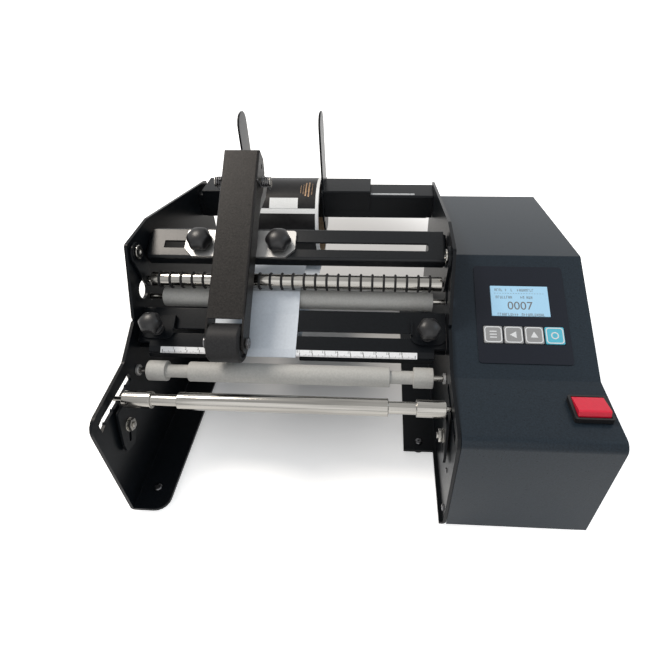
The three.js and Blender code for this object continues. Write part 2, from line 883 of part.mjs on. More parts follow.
// Peel plate
const peelEnd = plateInnerHalf - gap;
function peelPlate() {
  const line = [
    [peelReturnY, peelReturnZ],
    [peelNoseY, peelNoseZ],
    [peelRulerY, peelRulerZ],
    [peelDeckRearY, peelDeckRearZ],
    [peelDeckRearY + peelSheet * half, peelDeckRearZ - peelRearFlange],
  ].reverse();
  const strip = across(folded(line, peelSheet, peelSheet * half), -peelEnd, peelEnd);
  const shoulder = (side) => block(
    Math.min(side * peelNoseHalf, side * (peelEnd + overrun)),
    Math.max(side * peelNoseHalf, side * (peelEnd + overrun)),
    peelNoseY - overrun,
    peelShoulderY,
    peelReturnZ - overrun,
    peelDeckRearZ,
  );
  const slot = onSlope(
    upright(
      rectangle(
        -peelSlotHalf,
        peelSlotHalf,
        peelSlotAlong - peelSlotWidth * half,
        peelSlotAlong + peelSlotWidth * half,
        peelSlotWidth * half,
      ),
      -peelSheet - overrun,
      overrun,
    ),
    peelRulerY,
    peelRulerZ,
    deckSlope,
  );
  return cut(strip, shoulder(1), shoulder(-1), slot);
}
place('peel_plate', peelPlate(), blackPaint);

// Roll bar
function rollBar() {
  const reach = plateInnerHalf - gap;
  const line = [
    [barRearY, barTopZ - barDepth],
    [barRearY, barTopZ],
    [barFrontY, barTopZ],
    [barFrontY, barTopZ - barDepth],
  ];
  const channel = across(folded(line, barSheet, barSheet + gap), -reach, reach);
  const end = (side) => block(
    Math.min(side * reach, side * (reach - barSheet)),
    Math.max(side * reach, side * (reach - barSheet)),
    barFrontY + barSheet * half,
    barRearY - barSheet * half,
    barTopZ - barDepth,
    barTopZ - barSheet * half,
  );
  const low = barTopZ - barDepth;
  const chamfer = (side) => along([
    [side * (reach + overrun), low - overrun],
    [side * (reach - barSheet - barChamferX), low - overrun],
    [side * (reach - barSheet - barChamferX), low],
    [side * (reach - barSheet), low + barChamferZ],
    [side * (reach + overrun), low + barChamferZ],
  ], barFrontY - overrun, barFrontY + barSheet * half);
  const hole = (x) => along(
    circlePoints(x, barTopZ - barHoleDrop, barHoleRadius, smallSides),
    barFrontY - overrun,
    barFrontY + barSheet + overrun,
  );
  const holes = [hole(-barHoleLeftX), hole(barHoleRightX)];
  return cut(joined(channel, end(1), end(-1)), chamfer(1), chamfer(-1), ...holes);
}
place('roll_bar', rollBar(), blackPaint);

// Drive roller with its shaft, bearings and pulley
const shaftLeftEnd = -plateOuterHalf + gap;
const pulleyLeft = pulleyX - pulleyWidth * half;
const pulleyRight = pulleyX + pulleyWidth * half;
const bearingInner = plateInnerHalf - gap - bearingThickness;

place('drive_shaft', turned([
  [shaftLeftEnd, 0],
  [shaftLeftEnd, driveShaftRadius],
  [pulleyRight, driveShaftRadius],
  [pulleyRight, 0],
], driveY, driveZ, midSides), steel);

function sleeve(stations, bore, y, z, sides) {
  const outer = stations;
  const first = stations[0][0];
  const last = stations[stations.length - 1][0];
  return turned([[first, bore], ...outer, [last, bore], [first, bore]], y, z, sides);
}

place('drive_roller', sleeve([
  [-driveEndHalf, driveCollarRadius],
  [-driveNeckHalf, driveCollarRadius],
  [-driveNeckHalf, driveNeckRadius],
  [-driveBodyHalf, driveNeckRadius],
  [-driveBodyHalf, driveBodyRadius],
  [driveBodyHalf, driveBodyRadius],
  [driveBodyHalf, driveNeckRadius],
  [driveNeckHalf, driveNeckRadius],
  [driveNeckHalf, driveCollarRadius],
  [driveEndHalf, driveCollarRadius],
], driveShaftRadius + gap, driveY, driveZ, fineSides), grayRubber);

function bearing(side) {
  const a = side * bearingInner;
  const b = side * (plateInnerHalf - gap);
  return sleeve([
    [Math.min(a, b), bearingRadius],
    [Math.max(a, b), bearingRadius],
  ], driveShaftRadius + gap, driveY, driveZ, midSides);
}
place('left_drive_bearing', bearing(-1), zinc);
place('right_drive_bearing', bearing(1), zinc);

function pulley(bore, y, z) {
  return sleeve([
    [pulleyLeft, pulleyFlangeRadius],
    [pulleyLeft + pulleyFlange, pulleyFlangeRadius],
    [pulleyLeft + pulleyFlange, pulleyRadius],
    [pulleyRight - pulleyFlange, pulleyRadius],
    [pulleyRight - pulleyFlange, pulleyFlangeRadius],
    [pulleyRight, pulleyFlangeRadius],
  ], bore, y, z, midSides);
}
place('drive_pulley', pulley(driveShaftRadius + gap, driveY, driveZ), satinBlack);

// Nip roller
place('nip_roller', turned([
  [shaftLeftEnd, 0],
  [shaftLeftEnd, nipShaftRadius],
  [-nipHalf, nipShaftRadius],
  [-nipHalf, nipRadius],
  [nipHalf, nipRadius],
  [nipHalf, nipShaftRadius],
  [pulleyRight, nipShaftRadius],
  [pulleyRight, 0],
], nipY, nipZ, fineSides), grayRubber);
place('nip_pulley', pulley(nipShaftRadius + gap, nipY, nipZ), satinBlack);

// Idler roller: necked steel roller on a through pin whose ends lie in the toothed slots
const idlerPinEnd = plateOuterHalf - gap;
place('idler_shaft', turned([
  [-idlerPinEnd, 0],
  [-idlerPinEnd, idlerPinRadius],
  [idlerPinEnd, idlerPinRadius],
  [idlerPinEnd, 0],
], idlerY, idlerZ, smallSides), steel);
place('idler_roller', sleeve([
  [-idlerEndHalf, idlerCollarRadius],
  [-idlerNeckHalf, idlerCollarRadius],
  [-idlerNeckHalf, idlerNeckRadius],
  [-idlerBodyHalf, idlerNeckRadius],
  [-idlerBodyHalf, idlerBodyRadius],
  [idlerBodyHalf, idlerBodyRadius],
  [idlerBodyHalf, idlerNeckRadius],
  [idlerNeckHalf, idlerNeckRadius],
  [idlerNeckHalf, idlerCollarRadius],
  [idlerEndHalf, idlerCollarRadius],
], idlerPinRadius + gap, idlerY, idlerZ, fineSides), steel);

// Pressure roller: steel rod with evenly pitched rubber rings
function pressureRoller() {
  const profile = [[-pressureEndHalf, 0], [-pressureEndHalf, pressureStubRadius]];
  const rodEnd = nipHalf;
  profile.push([-rodEnd, pressureStubRadius], [-rodEnd, pressureRodRadius]);
  for (let k = 0; k < pressureRingCount; k += 1) {
    const x = (k - (pressureRingCount - 1) * half) * pressureRingPitch;
    const w = pressureRingWidth * half;
    profile.push([x - w, pressureRodRadius]);
    profile.push([x - w * ringCrownShare, pressureRingRadius]);
    profile.push([x + w * ringCrownShare, pressureRingRadius]);
    profile.push([x + w, pressureRodRadius]);
  }
  profile.push([rodEnd, pressureRodRadius], [rodEnd, pressureStubRadius]);
  profile.push([pressureEndHalf, pressureStubRadius], [pressureEndHalf, 0]);
  return turned(profile, pressureY, pressureZ, ringSides);
}
place('pressure_roller', pressureRoller(), blackRubber);

// Pressure levers on their pivot screws
function pressureLever(side) {
  const outline = [
    [leverPivotY - leverHeadRadius, leverPivotZ + leverHeadRadius, leverHeadRadius],
    [leverPivotY - leverHeadRadius - sheet, leverPivotZ - sheet, leverFootRadius],
    [pressureY - leverFootRadius, pressureZ, leverFootRadius],
    [leverTailY, leverTailZ, sheet],
    [pressureY + leverFootRadius, leverTailZ + sheet, leverFootRadius],
    [pressureY + leverFootRadius, pressureZ + leverFootRadius, leverFootRadius],
    [leverPivotY + leverHeadRadius, leverPivotZ - leverHeadRadius, leverFootRadius],
    [leverPivotY + leverHeadRadius, leverPivotZ + leverHeadRadius, leverHeadRadius],
  ];
  const body = cut(
    across(outline, leverInner, leverOuter),
    across(
      circlePoints(leverPivotY, leverPivotZ, leverHoleRadius + gap, midSides),
      leverInner - overrun,
      leverOuter + overrun,
    ),
    across(
      circlePoints(pressureY, pressureZ, pressureStubRadius + gap, midSides),
      leverInner - overrun,
      leverOuter + overrun,
    ),
  );
  return side > 0 ? body : body.mirror([1, 0, 0]);
}
place('left_pressure_lever', pressureLever(-1), blackPaint);
place('right_pressure_lever', pressureLever(1), blackPaint);

function leverScrew(side) {
  const head = leverInner - gap;
  const body = turned([
    [head - leverScrewHeadHeight, 0],
    [head - leverScrewHeadHeight, leverScrewHeadRadius],
    [head, leverScrewHeadRadius],
    [head, leverHoleRadius],
    [plateOuterHalf, leverHoleRadius],
    [plateOuterHalf, 0],
  ], leverPivotY, leverPivotZ, midSides);
  return side > 0 ? toSolid(body) : toSolid(body).mirror([1, 0, 0]);
}
place('left_lever_screw', leverScrew(-1), steel);
place('right_lever_screw', leverScrew(1), steel);

// Arm bracket on the rail
function armBracket() {
  const low = gap;
  const high = gap + bracketThickness;
  const outline = [
    [armCentreX - bracketLeft, -bracketFront + bracketCornerY],
    [armCentreX - bracketLeft + bracketCornerX, -bracketFront],
    [armCentreX + bracketRight - bracketCornerX, -bracketFront],
    [armCentreX + bracketRight, -bracketFront + bracketCornerY],
    [armCentreX + bracketRight, bracketBack, sheet],
    [armCentreX - bracketLeft, bracketBack, sheet],
  ];
  const plate = upright(outline, low, high);
  const throat = block(
    armCentreX - earInner,
    armCentreX + earInner,
    -bracketFront - overrun,
    -bracketFront + bracketThroat,
    0,
    high + overrun,
  );
  const stem = (x) => upright(circlePoints(x, 0, railKnobStemRadius + gap, midSides), 0, high + overrun);
  const base = onSlopeSolid(cut(
    plate,
    throat,
    stem(armCentreX + leftKnobOffset),
    stem(armCentreX + rightKnobOffset),
  ));
  const footLift = high - bracketThickness * half;
  const footFront = railPoint(-bracketFront + sheet, footLift);
  const footBack = railPoint(bracketBack, footLift);
  const earOutline = [
    footFront,
    footBack,
    [earBackFootY + sheet, railPoint(earBackFootY + sheet - railCentreY, high)[1], earRadius],
    [earWaistY, earWaistZ, earRadius],
    [earKneeY, earKneeZ, earRadius],
    [earTailY, earTailZ, earRadius],
    [earTopY, earTopZ, earRadius],
    [earCrownY, earCrownZ, earRadius],
    [earChestY, earChestZ, earRadius],
  ];
  const ears = [-1, 1].map((side) => {
    const a = armCentreX + side * earInner;
    const b = armCentreX + side * (earInner + earThickness);
    return cut(
      across(earOutline, Math.min(a, b), Math.max(a, b)),
      across(
        circlePoints(pivotY, pivotZ, hingeShaftRadius + gap, midSides),
        Math.min(a, b) - overrun,
        Math.max(a, b) + overrun,
      ),
    );
  });
  return joined(base, ...ears);
}

function railPoint(s, lift) {
  return [
    railCentreY + s * railFaceCos - lift * railFaceSin,
    railCentreZ + s * railFaceSin + lift * railFaceCos,
  ];
}

function onSlopeSolid(solid) {
  return solid.rotate([railSlope, 0, 0]).translate([0, railCentreY, railCentreZ]);
}

place('arm_bracket', armBracket(), zinc);

// Rail knobs
function railKnob() {
  const points = [];
  const sides = railKnobLobes * lobeSteps;
  for (let k = 0; k < sides; k += 1) {
    const a = (turn * k) / sides;
    const r = railKnobRadius + railKnobLobe * Math.cos(a * railKnobLobes);
    points.push([r * Math.cos(a), r * Math.sin(a)]);
  }
  const seat = gap + bracketThickness + gap;
  const rim = seat + railKnobCollarHeight;
  const top = rim + railKnobGripHeight;
  const grip = upright(points, rim, top);
  const nutTop = -railSheet - gap;
  const core = spun([
    [nutTop - railKnobNutHeight, 0],
    [nutTop - railKnobNutHeight, railKnobNutRadius],
    [nutTop, railKnobNutRadius],
    [nutTop, railKnobStemRadius],
    [seat, railKnobStemRadius],
    [seat, railKnobCollarRadius],
    [top - thinSheet, railKnobCollarRadius],
    [top, railKnobDomeRadius],
    [top + railKnobDomeHeight * domeLowShare, railKnobDomeRadius * domeLowRadiusShare],
    [top + railKnobDomeHeight * domeHighShare, railKnobDomeRadius * domeHighRadiusShare],
    [top + railKnobDomeHeight, 0],
  ], midSides);
  return joined(core, grip);
}

for (const [name, offset] of [['left_rail_knob', leftKnobOffset], ['right_rail_knob', rightKnobOffset]]) {
  place(name, railKnob(), satinBlack, railFrame).position.x = armCentreX + offset;
}

// Hinge shaft with end collars, and the two torsion springs wound on it
const earOuter = earInner + earThickness;
const coilLength = springCurls * springPitch + springWireRadius * 2;
const hingeHalf = earOuter + gap + coilLength + gap;
place('hinge_shaft', turned([
  [armCentreX - hingeHalf - hingeShaftHeadLength, 0],
  [armCentreX - hingeHalf - hingeShaftHeadLength, hingeShaftHeadRadius],
  [armCentreX - hingeHalf, hingeShaftHeadRadius],
  [armCentreX - hingeHalf, hingeShaftRadius],
  [armCentreX + hingeHalf, hingeShaftRadius],
  [armCentreX + hingeHalf, hingeShaftHeadRadius],
  [armCentreX + hingeHalf + hingeShaftHeadLength, hingeShaftHeadRadius],
  [armCentreX + hingeHalf + hingeShaftHeadLength, 0],
], pivotY, pivotZ, midSides), steel);

const coilRadius = hingeShaftRadius + gap + springWireRadius;
const coilStart = earOuter + gap + springWireRadius;

function springLine() {
  const line = [];
  const total = springCurls * springSteps;
  const startAngle = springStartShare * turn;
  const at = (k) => {
    const a = startAngle + (turn * k) / springSteps;
    return new THREE.Vector3(
      coilStart + (springPitch * k) / springSteps,
      pivotY + coilRadius * Math.cos(a),
      pivotZ + coilRadius * Math.sin(a),
    );
  };
  const tangent = (k) => {
    const a = startAngle + (turn * k) / springSteps;
    return new THREE.Vector3(0, -Math.sin(a), Math.cos(a));
  };
  line.push(at(0).addScaledVector(tangent(0), -springLegLength));
  for (let k = 0; k <= total; k += 1) line.push(at(k));
  line.push(at(total).addScaledVector(tangent(total), springLegLength * springShortLegShare));
  return line;
}

// Round wire along a line of points, one ring of sides per point, with closed ends.
function wire(points, radius, sides) {
  const vertices = [];
  const faces = [];
  const guide = new THREE.Vector3(1, 0, 0);
  points.forEach((p, i) => {
    const before = points[Math.max(i - 1, 0)];
    const after = points[Math.min(i + 1, points.length - 1)];
    const direction = after.clone().sub(before).normalize();
    const u = guide.clone().addScaledVector(direction, -guide.dot(direction)).normalize();
    const v = direction.clone().cross(u);
    for (let k = 0; k < sides; k += 1) {
      const a = (turn * k) / sides;
      const rim = p.clone().addScaledVector(u, radius * Math.cos(a));
      vertices.push(rim.addScaledVector(v, radius * Math.sin(a)));
    }
  });
  const rings = points.length;
  for (let i = 0; i < rings - 1; i += 1) {
    for (let k = 0; k < sides; k += 1) {
      const a = i * sides + k;
      const b = i * sides + ((k + 1) % sides);
      faces.push(a, b, b + sides, a, b + sides, a + sides);
    }
  }
  for (let k = 1; k < sides - 1; k += 1) {
    faces.push(0, k + 1, k);
    const last = (rings - 1) * sides;
    faces.push(last, last + k, last + k + 1);
  }
  const geometry = new THREE.BufferGeometry().setFromPoints(vertices);
  geometry.setIndex(faces);
  return geometry;
}

const springPath = springLine();
let springGap = Infinity;
for (let i = 0; i < springPath.length; i += 1) {
  for (let k = i + springSteps * half; k < springPath.length; k += 1) {
    springGap = Math.min(springGap, springPath[i].distanceTo(springPath[k]) - springWireRadius * 2);
  }
}
console.log(`torsion spring: least gap to itself ${springGap.toFixed(2)} mm`);
const springSolid = toSolid(wire(springPath, springWireRadius, springSides));
place('right_torsion_spring', springSolid.translate([armCentreX, 0, 0]), steel);
place('left_torsion_spring', springSolid.mirror([1, 0, 0]).translate([armCentreX, 0, 0]), steel);

// Pressing arm: a channel that follows the arm line, open below and at both ends
const armEdge = armWidth * half;
const armInnerHalf = armEdge - thinSheet;
function pressingArm() {
  const nose = armLength + armWheelBeyond;
  const side = [
    [0, 0],
    [armLength, 0, armNoseRadius],
    [nose + armNoseRadius, armWheelDepth - armNoseRadius, armNoseRadius],
    [nose + armNoseRadius, armWheelDepth + armNoseRadius, armNoseRadius],
    [armLength - armNoseRadius, armDepth, armNoseRadius],
    [armRearStep, armDepth, armNoseRadius],
    [armRearStep - armNoseRadius, armRearDepth, armNoseRadius],
    [armRearChamfer, armRearDepth],
    [0, armRearDepth - armRearChamfer],
  ];
  const outline = side.map(([a, depth, radius]) => [...armPoint(a, depth), radius]).reverse();
  const whole = across(outline, armCentreX - armEdge, armCentreX + armEdge);
  const hollow = [
    [-overrun, thinSheet],
    [nose + armNoseRadius + overrun, thinSheet],
    [nose + armNoseRadius + overrun, armRearDepth + overrun],
    [-overrun, armRearDepth + overrun],
  ].map(([a, depth]) => armPoint(a, depth)).reverse();
  const beyond = [
    [armLength, -overrun],
    [nose + armNoseRadius + overrun, -overrun],
    [nose + armNoseRadius + overrun, thinSheet + overrun],
    [armLength, thinSheet + overrun],
  ].map(([a, depth]) => armPoint(a, depth)).reverse();
  const round = (y, z, r) => across(
    circlePoints(y, z, r, midSides),
    armCentreX - armEdge - overrun,
    armCentreX + armEdge + overrun,
  );
  const [holeY, holeZ] = armPoint(armHoleAlong, armWheelDepth);
  return cut(
    whole,
    across(hollow, armCentreX - armInnerHalf, armCentreX + armInnerHalf),
    across(beyond, armCentreX - armInnerHalf, armCentreX + armInnerHalf),
    round(pivotY, pivotZ, hingeShaftRadius + gap),
    round(axleY, axleZ, wheelAxleRadius + gap),
    round(holeY, holeZ, armHoleRadius),
  );
}
place('pressing_arm', pressingArm(), satinBlack);

place('wheel_axle', turned([
  [armCentreX - armEdge - gap - wheelAxleHeadLength, 0],
  [armCentreX - armEdge - gap - wheelAxleHeadLength, wheelAxleHeadRadius],
  [armCentreX - armEdge - gap, wheelAxleHeadRadius],
  [armCentreX - armEdge - gap, wheelAxleRadius],
  [armCentreX + armEdge + gap, wheelAxleRadius],
  [armCentreX + armEdge + gap, wheelAxleHeadRadius],
  [armCentreX + armEdge + gap + wheelAxleHeadLength, wheelAxleHeadRadius],
  [armCentreX + armEdge + gap + wheelAxleHeadLength, 0],
], axleY, axleZ, midSides), steel);

const wheelHalf = armInnerHalf - gap;
place('press_wheel', sleeve([
  [armCentreX - wheelHalf, wheelAxleRadius + wheelBoreWall],
  [armCentreX - wheelHalf + wheelDishDepth, wheelAxleRadius + wheelBoreWall],
  [armCentreX - wheelHalf + wheelDishDepth, wheelDishRadius],
  [armCentreX - wheelHalf, wheelDishRadius],
  [armCentreX - wheelHalf, wheelRadius - wheelEdge],
  [armCentreX - wheelHalf + wheelEdge, wheelRadius],
  [armCentreX + wheelHalf - wheelEdge, wheelRadius],
  [armCentreX + wheelHalf, wheelRadius - wheelEdge],
  [armCentreX + wheelHalf, wheelDishRadius],
  [armCentreX + wheelHalf - wheelDishDepth, wheelDishRadius],
  [armCentreX + wheelHalf - wheelDishDepth, wheelAxleRadius + wheelBoreWall],
  [armCentreX + wheelHalf, wheelAxleRadius + wheelBoreWall],
], wheelAxleRadius + gap, axleY, axleZ, fineSides), blackRubber);

// Web guides: a folded plate on the deck with a fence towards the web, and its clamp knob
const deckFrame = slopeFrame(peelRulerY, peelRulerZ, deckSlope);
function webGuide(side) {
  const inner = side > 0 ? guideRightInner : -guideLeftInner;
  const outer = inner + side * guideWidth;
  const low = gap;
  const high = gap + guideSheet;
  const plate = upright([
    [inner, guideFrontAlong, guideCornerRadius],
    [outer, guideFrontAlong, guideCornerRadius],
    [outer, guideRearAlong],
    [inner, guideRearAlong],
  ], low, high);
  const fence = block(
    Math.min(inner, inner + side * guideSheet),
    Math.max(inner, inner + side * guideSheet),
    guideFrontAlong + guideCornerRadius,
    guideRearAlong,
    low,
    high + guideFence * fenceShare,
  );
  const hole = upright(
    circlePoints(side * guideKnobX, peelSlotAlong, guideStemRadius + gap, midSides),
    0,
    high + overrun,
  );
  return cut(joined(plate, fence), hole);
}

function guideKnob() {
  const nutTop = -peelSheet - gap;
  const seat = gap + guideSheet + gap;
  const low = seat + guideKnobLift;
  const top = low + guideKnobHeight;
  return spun([
    [nutTop - guideNutHeight, 0],
    [nutTop - guideNutHeight, guideNutRadius],
    [nutTop, guideNutRadius],
    [nutTop, guideStemRadius],
    [seat, guideStemRadius],
    [seat, guideNutRadius],
    [low, guideNutRadius],
    [low, guideKnobRadius - guideKnobEdge],
    [low + guideKnobEdge, guideKnobRadius],
    [top - guideKnobEdge, guideKnobRadius],
    [top, guideKnobRadius - guideKnobEdge],
    [top, guideStemRadius],
    [top + guideStemTop, guideStemRadius],
    [top + guideStemTop, 0],
  ], midSides);
}
place('left_web_guide', webGuide(-1), blackPaint, deckFrame);
place('right_web_guide', webGuide(1), blackPaint, deckFrame);
for (const [name, side] of [['left_guide_knob', -1], ['right_guide_knob', 1]]) {
  place(name, guideKnob(), satinBlack, deckFrame).position.set(side * guideKnobX, peelSlotAlong, 0);
}

// Roll guides: a sleeve that saddles the bar and a tall tongue plate beside the roll
function rollGuide(sleeveOuterX, faceX) {
  const away = Math.sign(sleeveOuterX - faceX);
  const plateX = faceX + away * rollGuideSheet;
  const low = barTopZ - sleeveSkirtDrop;
  const saddle = [
    [barRearY + gap, low],
    [barRearY + gap + sleeveSkirt, low],
    [barRearY + gap + sleeveSkirt, barTopZ + gap + sleeveThickness, sleeveSkirt],
    [barFrontY - gap - sleeveSkirt, barTopZ + gap + sleeveThickness, sleeveSkirt],
    [barFrontY - gap - sleeveSkirt, low],
    [barFrontY - gap, low],
    [barFrontY - gap, barTopZ + gap],
    [barRearY + gap, barTopZ + gap],
  ];
  const a = Math.min(sleeveOuterX, plateX - away * rollGuideSheet * half);
  const b = Math.max(sleeveOuterX, plateX - away * rollGuideSheet * half);
  const wide = rollGuideWidth * half;
  const tongue = [
    [barCentreY - wide, rollGuideLowZ, rollGuideTipRadius],
    [barCentreY + wide, rollGuideLowZ, rollGuideTipRadius],
    [barCentreY + wide, rollGuideTopZ, rollGuideTipRadius],
    [barCentreY - wide, rollGuideTopZ, rollGuideTipRadius],
  ];
  const collar = rectangle(
    barFrontY - rollGuideCollarSide,
    barRearY + rollGuideCollarSide,
    barTopZ - barDepth - rollGuideCollarDrop,
    barTopZ + rollGuideCollarRise,
    sheet,
  );
  const p = Math.min(faceX, plateX);
  const q = Math.max(faceX, plateX);
  const barRoom = block(
    p - overrun,
    q + overrun,
    barFrontY - gap,
    barRearY + gap,
    barTopZ - barDepth - gap,
    barTopZ + gap,
  );
  return joined(across(saddle, a, b), cut(joined(across(tongue, p, q), across(collar, p, q)), barRoom));
}
place('left_roll_guide', rollGuide(-leftSleeveOuter, -leftGuideFace), blackPaint);
place('right_roll_guide', rollGuide(rightSleeveOuter, rightGuideFace), blackPaint);

// Label roll on its core, hanging on the bar's top edges
const rollLeft = rollCentreX - rollWidth * half;
const rollRight = rollCentreX + rollWidth * half;
const coreOuterRadius = coreInnerRadius + coreWall;
place('roll_core', sleeve([
  [rollLeft, coreOuterRadius],
  [rollRight, coreOuterRadius],
], coreInnerRadius, barCentreY, rollZ, coreSides), coreBoard);
place('label_roll', sleeve([
  [rollLeft, rollOuterRadius],
  [rollRight, rollOuterRadius],
], coreOuterRadius + gap, barCentreY, rollZ, coreSides), labelBlack);

// Web: from the foot of the roll, round the peel nose, up the deck, through the nip and out
function linerWeb() {
  const x0 = rollCentreX - webWidth * half;
  const noseClear = gap + webThickness;
  const rollClear = rollOuterRadius + gap + webThickness;
  const start = [barCentreY - rollOuterRadius * webStartShare, rollZ - rollClear];
  const nipLevel = nipZ + nipRadius + gap + webThickness;
  const deckUnit = [Math.cos(deckSlope * radian), Math.sin(deckSlope * radian)];
  const deckAt = (s, lift) => [
    peelRulerY + s * deckUnit[0] - lift * deckUnit[1],
    peelRulerZ + s * deckUnit[1] + lift * deckUnit[0],
  ];
  const deckLength = Math.hypot(peelDeckRearY - peelRulerY, peelDeckRearZ - peelRulerZ);
  const wrapRadius = nipLevel - nipZ;
  const lift = deckAt(deckLength * webDeckShare, noseClear);
  const towards = Math.atan2(nipZ - lift[1], nipY - lift[0]);
  const climb = towards + Math.asin(wrapRadius / Math.hypot(nipY - lift[0], nipZ - lift[1]));
  const line = [
    start,
    [peelReturnY, peelReturnZ - noseClear * webUnderShare],
    [peelNoseY - noseClear * webNoseShare, peelNoseZ - noseClear],
    [peelRulerY - noseClear, peelRulerZ + noseClear],
    lift,
    [lift[0] + (nipLevel - lift[1]) / Math.tan(climb), nipLevel],
    [webExitY, nipLevel],
    [webDroopY, webDroopZ],
  ];
  return across(folded(line.reverse(), webThickness, webThickness + gap), x0, x0 + webWidth);
}
place('liner_web', linerWeb(), paleWeb);

// Feet
function foot() {
  const top = plateBottom - gap;
  return spun([
    [footHollowDepth, 0],
    [footHollowDepth, footHollowRadius],
    [0, footHollowRadius],
    [0, footLowRadius],
    [top, footRadius],
    [top, 0],
  ], midSides);
}
for (const [name, x, y] of [
  ['left_front_foot', leftFootX, frontFootY],
  ['left_rear_foot', leftFootX, rearFootY],
  ['middle_front_foot', middleFootX, middleFootY],
  ['right_front_foot', rightFootX, frontFootY],
  ['right_rear_foot', rightFootX, rearFootY],
]) place(name, foot(), blackRubber).position.set(x, y, 0);

// Side housing: a folded cover with a shelf and a sloping display face, closed by a base
function housingProfile(inset) {
  const t = inset;
  const slopeShift = t * Math.tan(displayRise * radian * half);
  const rearSlope = Math.atan2(displayRearZ - housingRearTopZ, housingRearY - displayRearY);
  const ridge = (displayRise * radian + rearSlope) * half;
  const ridgeShift = t * Math.tan(ridge);
  const ridgeAngle = displayRise * radian;
  const ridgeY = displayRearY + t * Math.sin(ridgeAngle) - ridgeShift * Math.cos(ridgeAngle);
  const ridgeZ = displayRearZ - t * Math.cos(ridgeAngle) - ridgeShift * Math.sin(ridgeAngle);
  const tailShift = t * Math.tan((Math.PI * half - rearSlope) * half);
  return [
    [t, plateBottom - (t > 0 ? overrun : 0)],
    [t, shelfFoldZ - t, Math.max(housingFrontRadius - t, 0)],
    [shelfRearY + slopeShift, housingShelfZ - t, sheet],
    [ridgeY, ridgeZ, housingCornerRadius],
    [housingRearY - t, housingRearTopZ - tailShift, Math.max(housingCornerRadius - t, 0)],
    [housingRearY - t, plateBottom - (t > 0 ? overrun : 0)],
  ];
}

const windowClear = gap;
function housingCover() {
  const shell = cut(
    across(housingProfile(0), housingLeft, housingRight),
    across(housingProfile(housingWall), housingLeft + housingWall, housingRight - housingWall),
  );
  const keyHoles = [];
  for (let k = 0; k < keyCount; k += 1) {
    const x = keyFirstX + k * keyPitch;
    keyHoles.push(onSlope(upright(rectangle(
      x - keySize * half - gap,
      x + keySize * half + gap,
      keyAlong - keySize * half - gap,
      keyAlong + keySize * half + gap,
    ), -housingWall - overrun, overrun), shelfRearY, housingShelfZ, displayRise));
  }
  const windowHole = onSlope(upright(rectangle(
    windowLeft - windowClear,
    windowRight + windowClear,
    windowFront - windowClear,
    windowRear + windowClear,
  ), -housingWall - overrun, overrun), shelfRearY, housingShelfZ, displayRise);
  const switchHole = upright(rectangle(
    switchX - bezelBodyWidth * half - gap,
    switchX + bezelBodyWidth * half + gap,
    switchY - bezelBodyLength * half - gap,
    switchY + bezelBodyLength * half + gap,
  ), housingShelfZ - housingWall - overrun, housingShelfZ + overrun);
  const inletHole = along(rectangle(
    inletX - inletBodyWidth * half - gap,
    inletX + inletBodyWidth * half + gap,
    inletZ - inletBodyHeight * half - gap,
    inletZ + inletBodyHeight * half + gap,
  ), housingRearY - housingWall - overrun, housingRearY + overrun);
  const shaftHole = (y, z, r) => across(
    circlePoints(y, z, r, midSides),
    housingLeft - overrun,
    housingLeft + housingWall + overrun,
  );
  return cut(
    shell,
    ...keyHoles,
    windowHole,
    switchHole,
    inletHole,
    shaftHole(driveY, driveZ, driveShaftRadius + gap),
    shaftHole(nipY, nipZ, nipShaftRadius + gap),
  );
}
place('housing_cover', housingCover(), blackPaint);

const baseLeft = housingLeft + housingWall + gap;
const baseRight = housingRight - housingWall - gap;
const baseFront = housingWall + gap;
const baseRear = housingRearY - housingWall - gap;
const baseTop = plateBottom + basePlate;
place('housing_base', block(baseLeft, baseRight, baseFront, baseRear, plateBottom, baseTop), blackPaint);

// Display overlay, window and keys on the slope
const faceFrame = slopeFrame(shelfRearY, housingShelfZ, displayRise);
function displayOverlay() {
  const low = gap - overrun;
  const high = gap + overlayThickness + overrun;
  const film = upright(
    rectangle(overlayLeft, overlayRight, overlayFront, overlayRear, overlayRadius),
    gap,
    gap + overlayThickness,
  );
  const openings = [upright(rectangle(
    windowLeft - windowClear,
    windowRight + windowClear,
    windowFront - windowClear,
    windowRear + windowClear,
  ), low, high)];
  for (let k = 0; k < keyCount; k += 1) {
    const x = keyFirstX + k * keyPitch;
    openings.push(upright(rectangle(
      x - keySize * half - gap,
      x + keySize * half + gap,
      keyAlong - keySize * half - gap,
      keyAlong + keySize * half + gap,
    ), low, high));
  }
  return cut(film, ...openings);
}
place('display_overlay', displayOverlay(), overlayFilm, faceFrame);
const faceTop = gap + overlayThickness;
place('display_window', block(
  windowLeft,
  windowRight,
  windowFront,
  windowRear,
  faceTop - windowThickness,
  faceTop,
), screenGlass, faceFrame);
const keyBottom = faceTop - keyDepth;
for (let k = 0; k < keyCount; k += 1) {
  const x = keyFirstX + k * keyPitch;
  const key = upright(rectangle(
    x - keySize * half,
    x + keySize * half,
    keyAlong - keySize * half,
    keyAlong + keySize * half,
    keyRadius,
  ), keyBottom, faceTop + keyProud);
  place(`key_${k + 1}`, key, k === keyCount - 1 ? blueKey : grayKey, faceFrame);
}

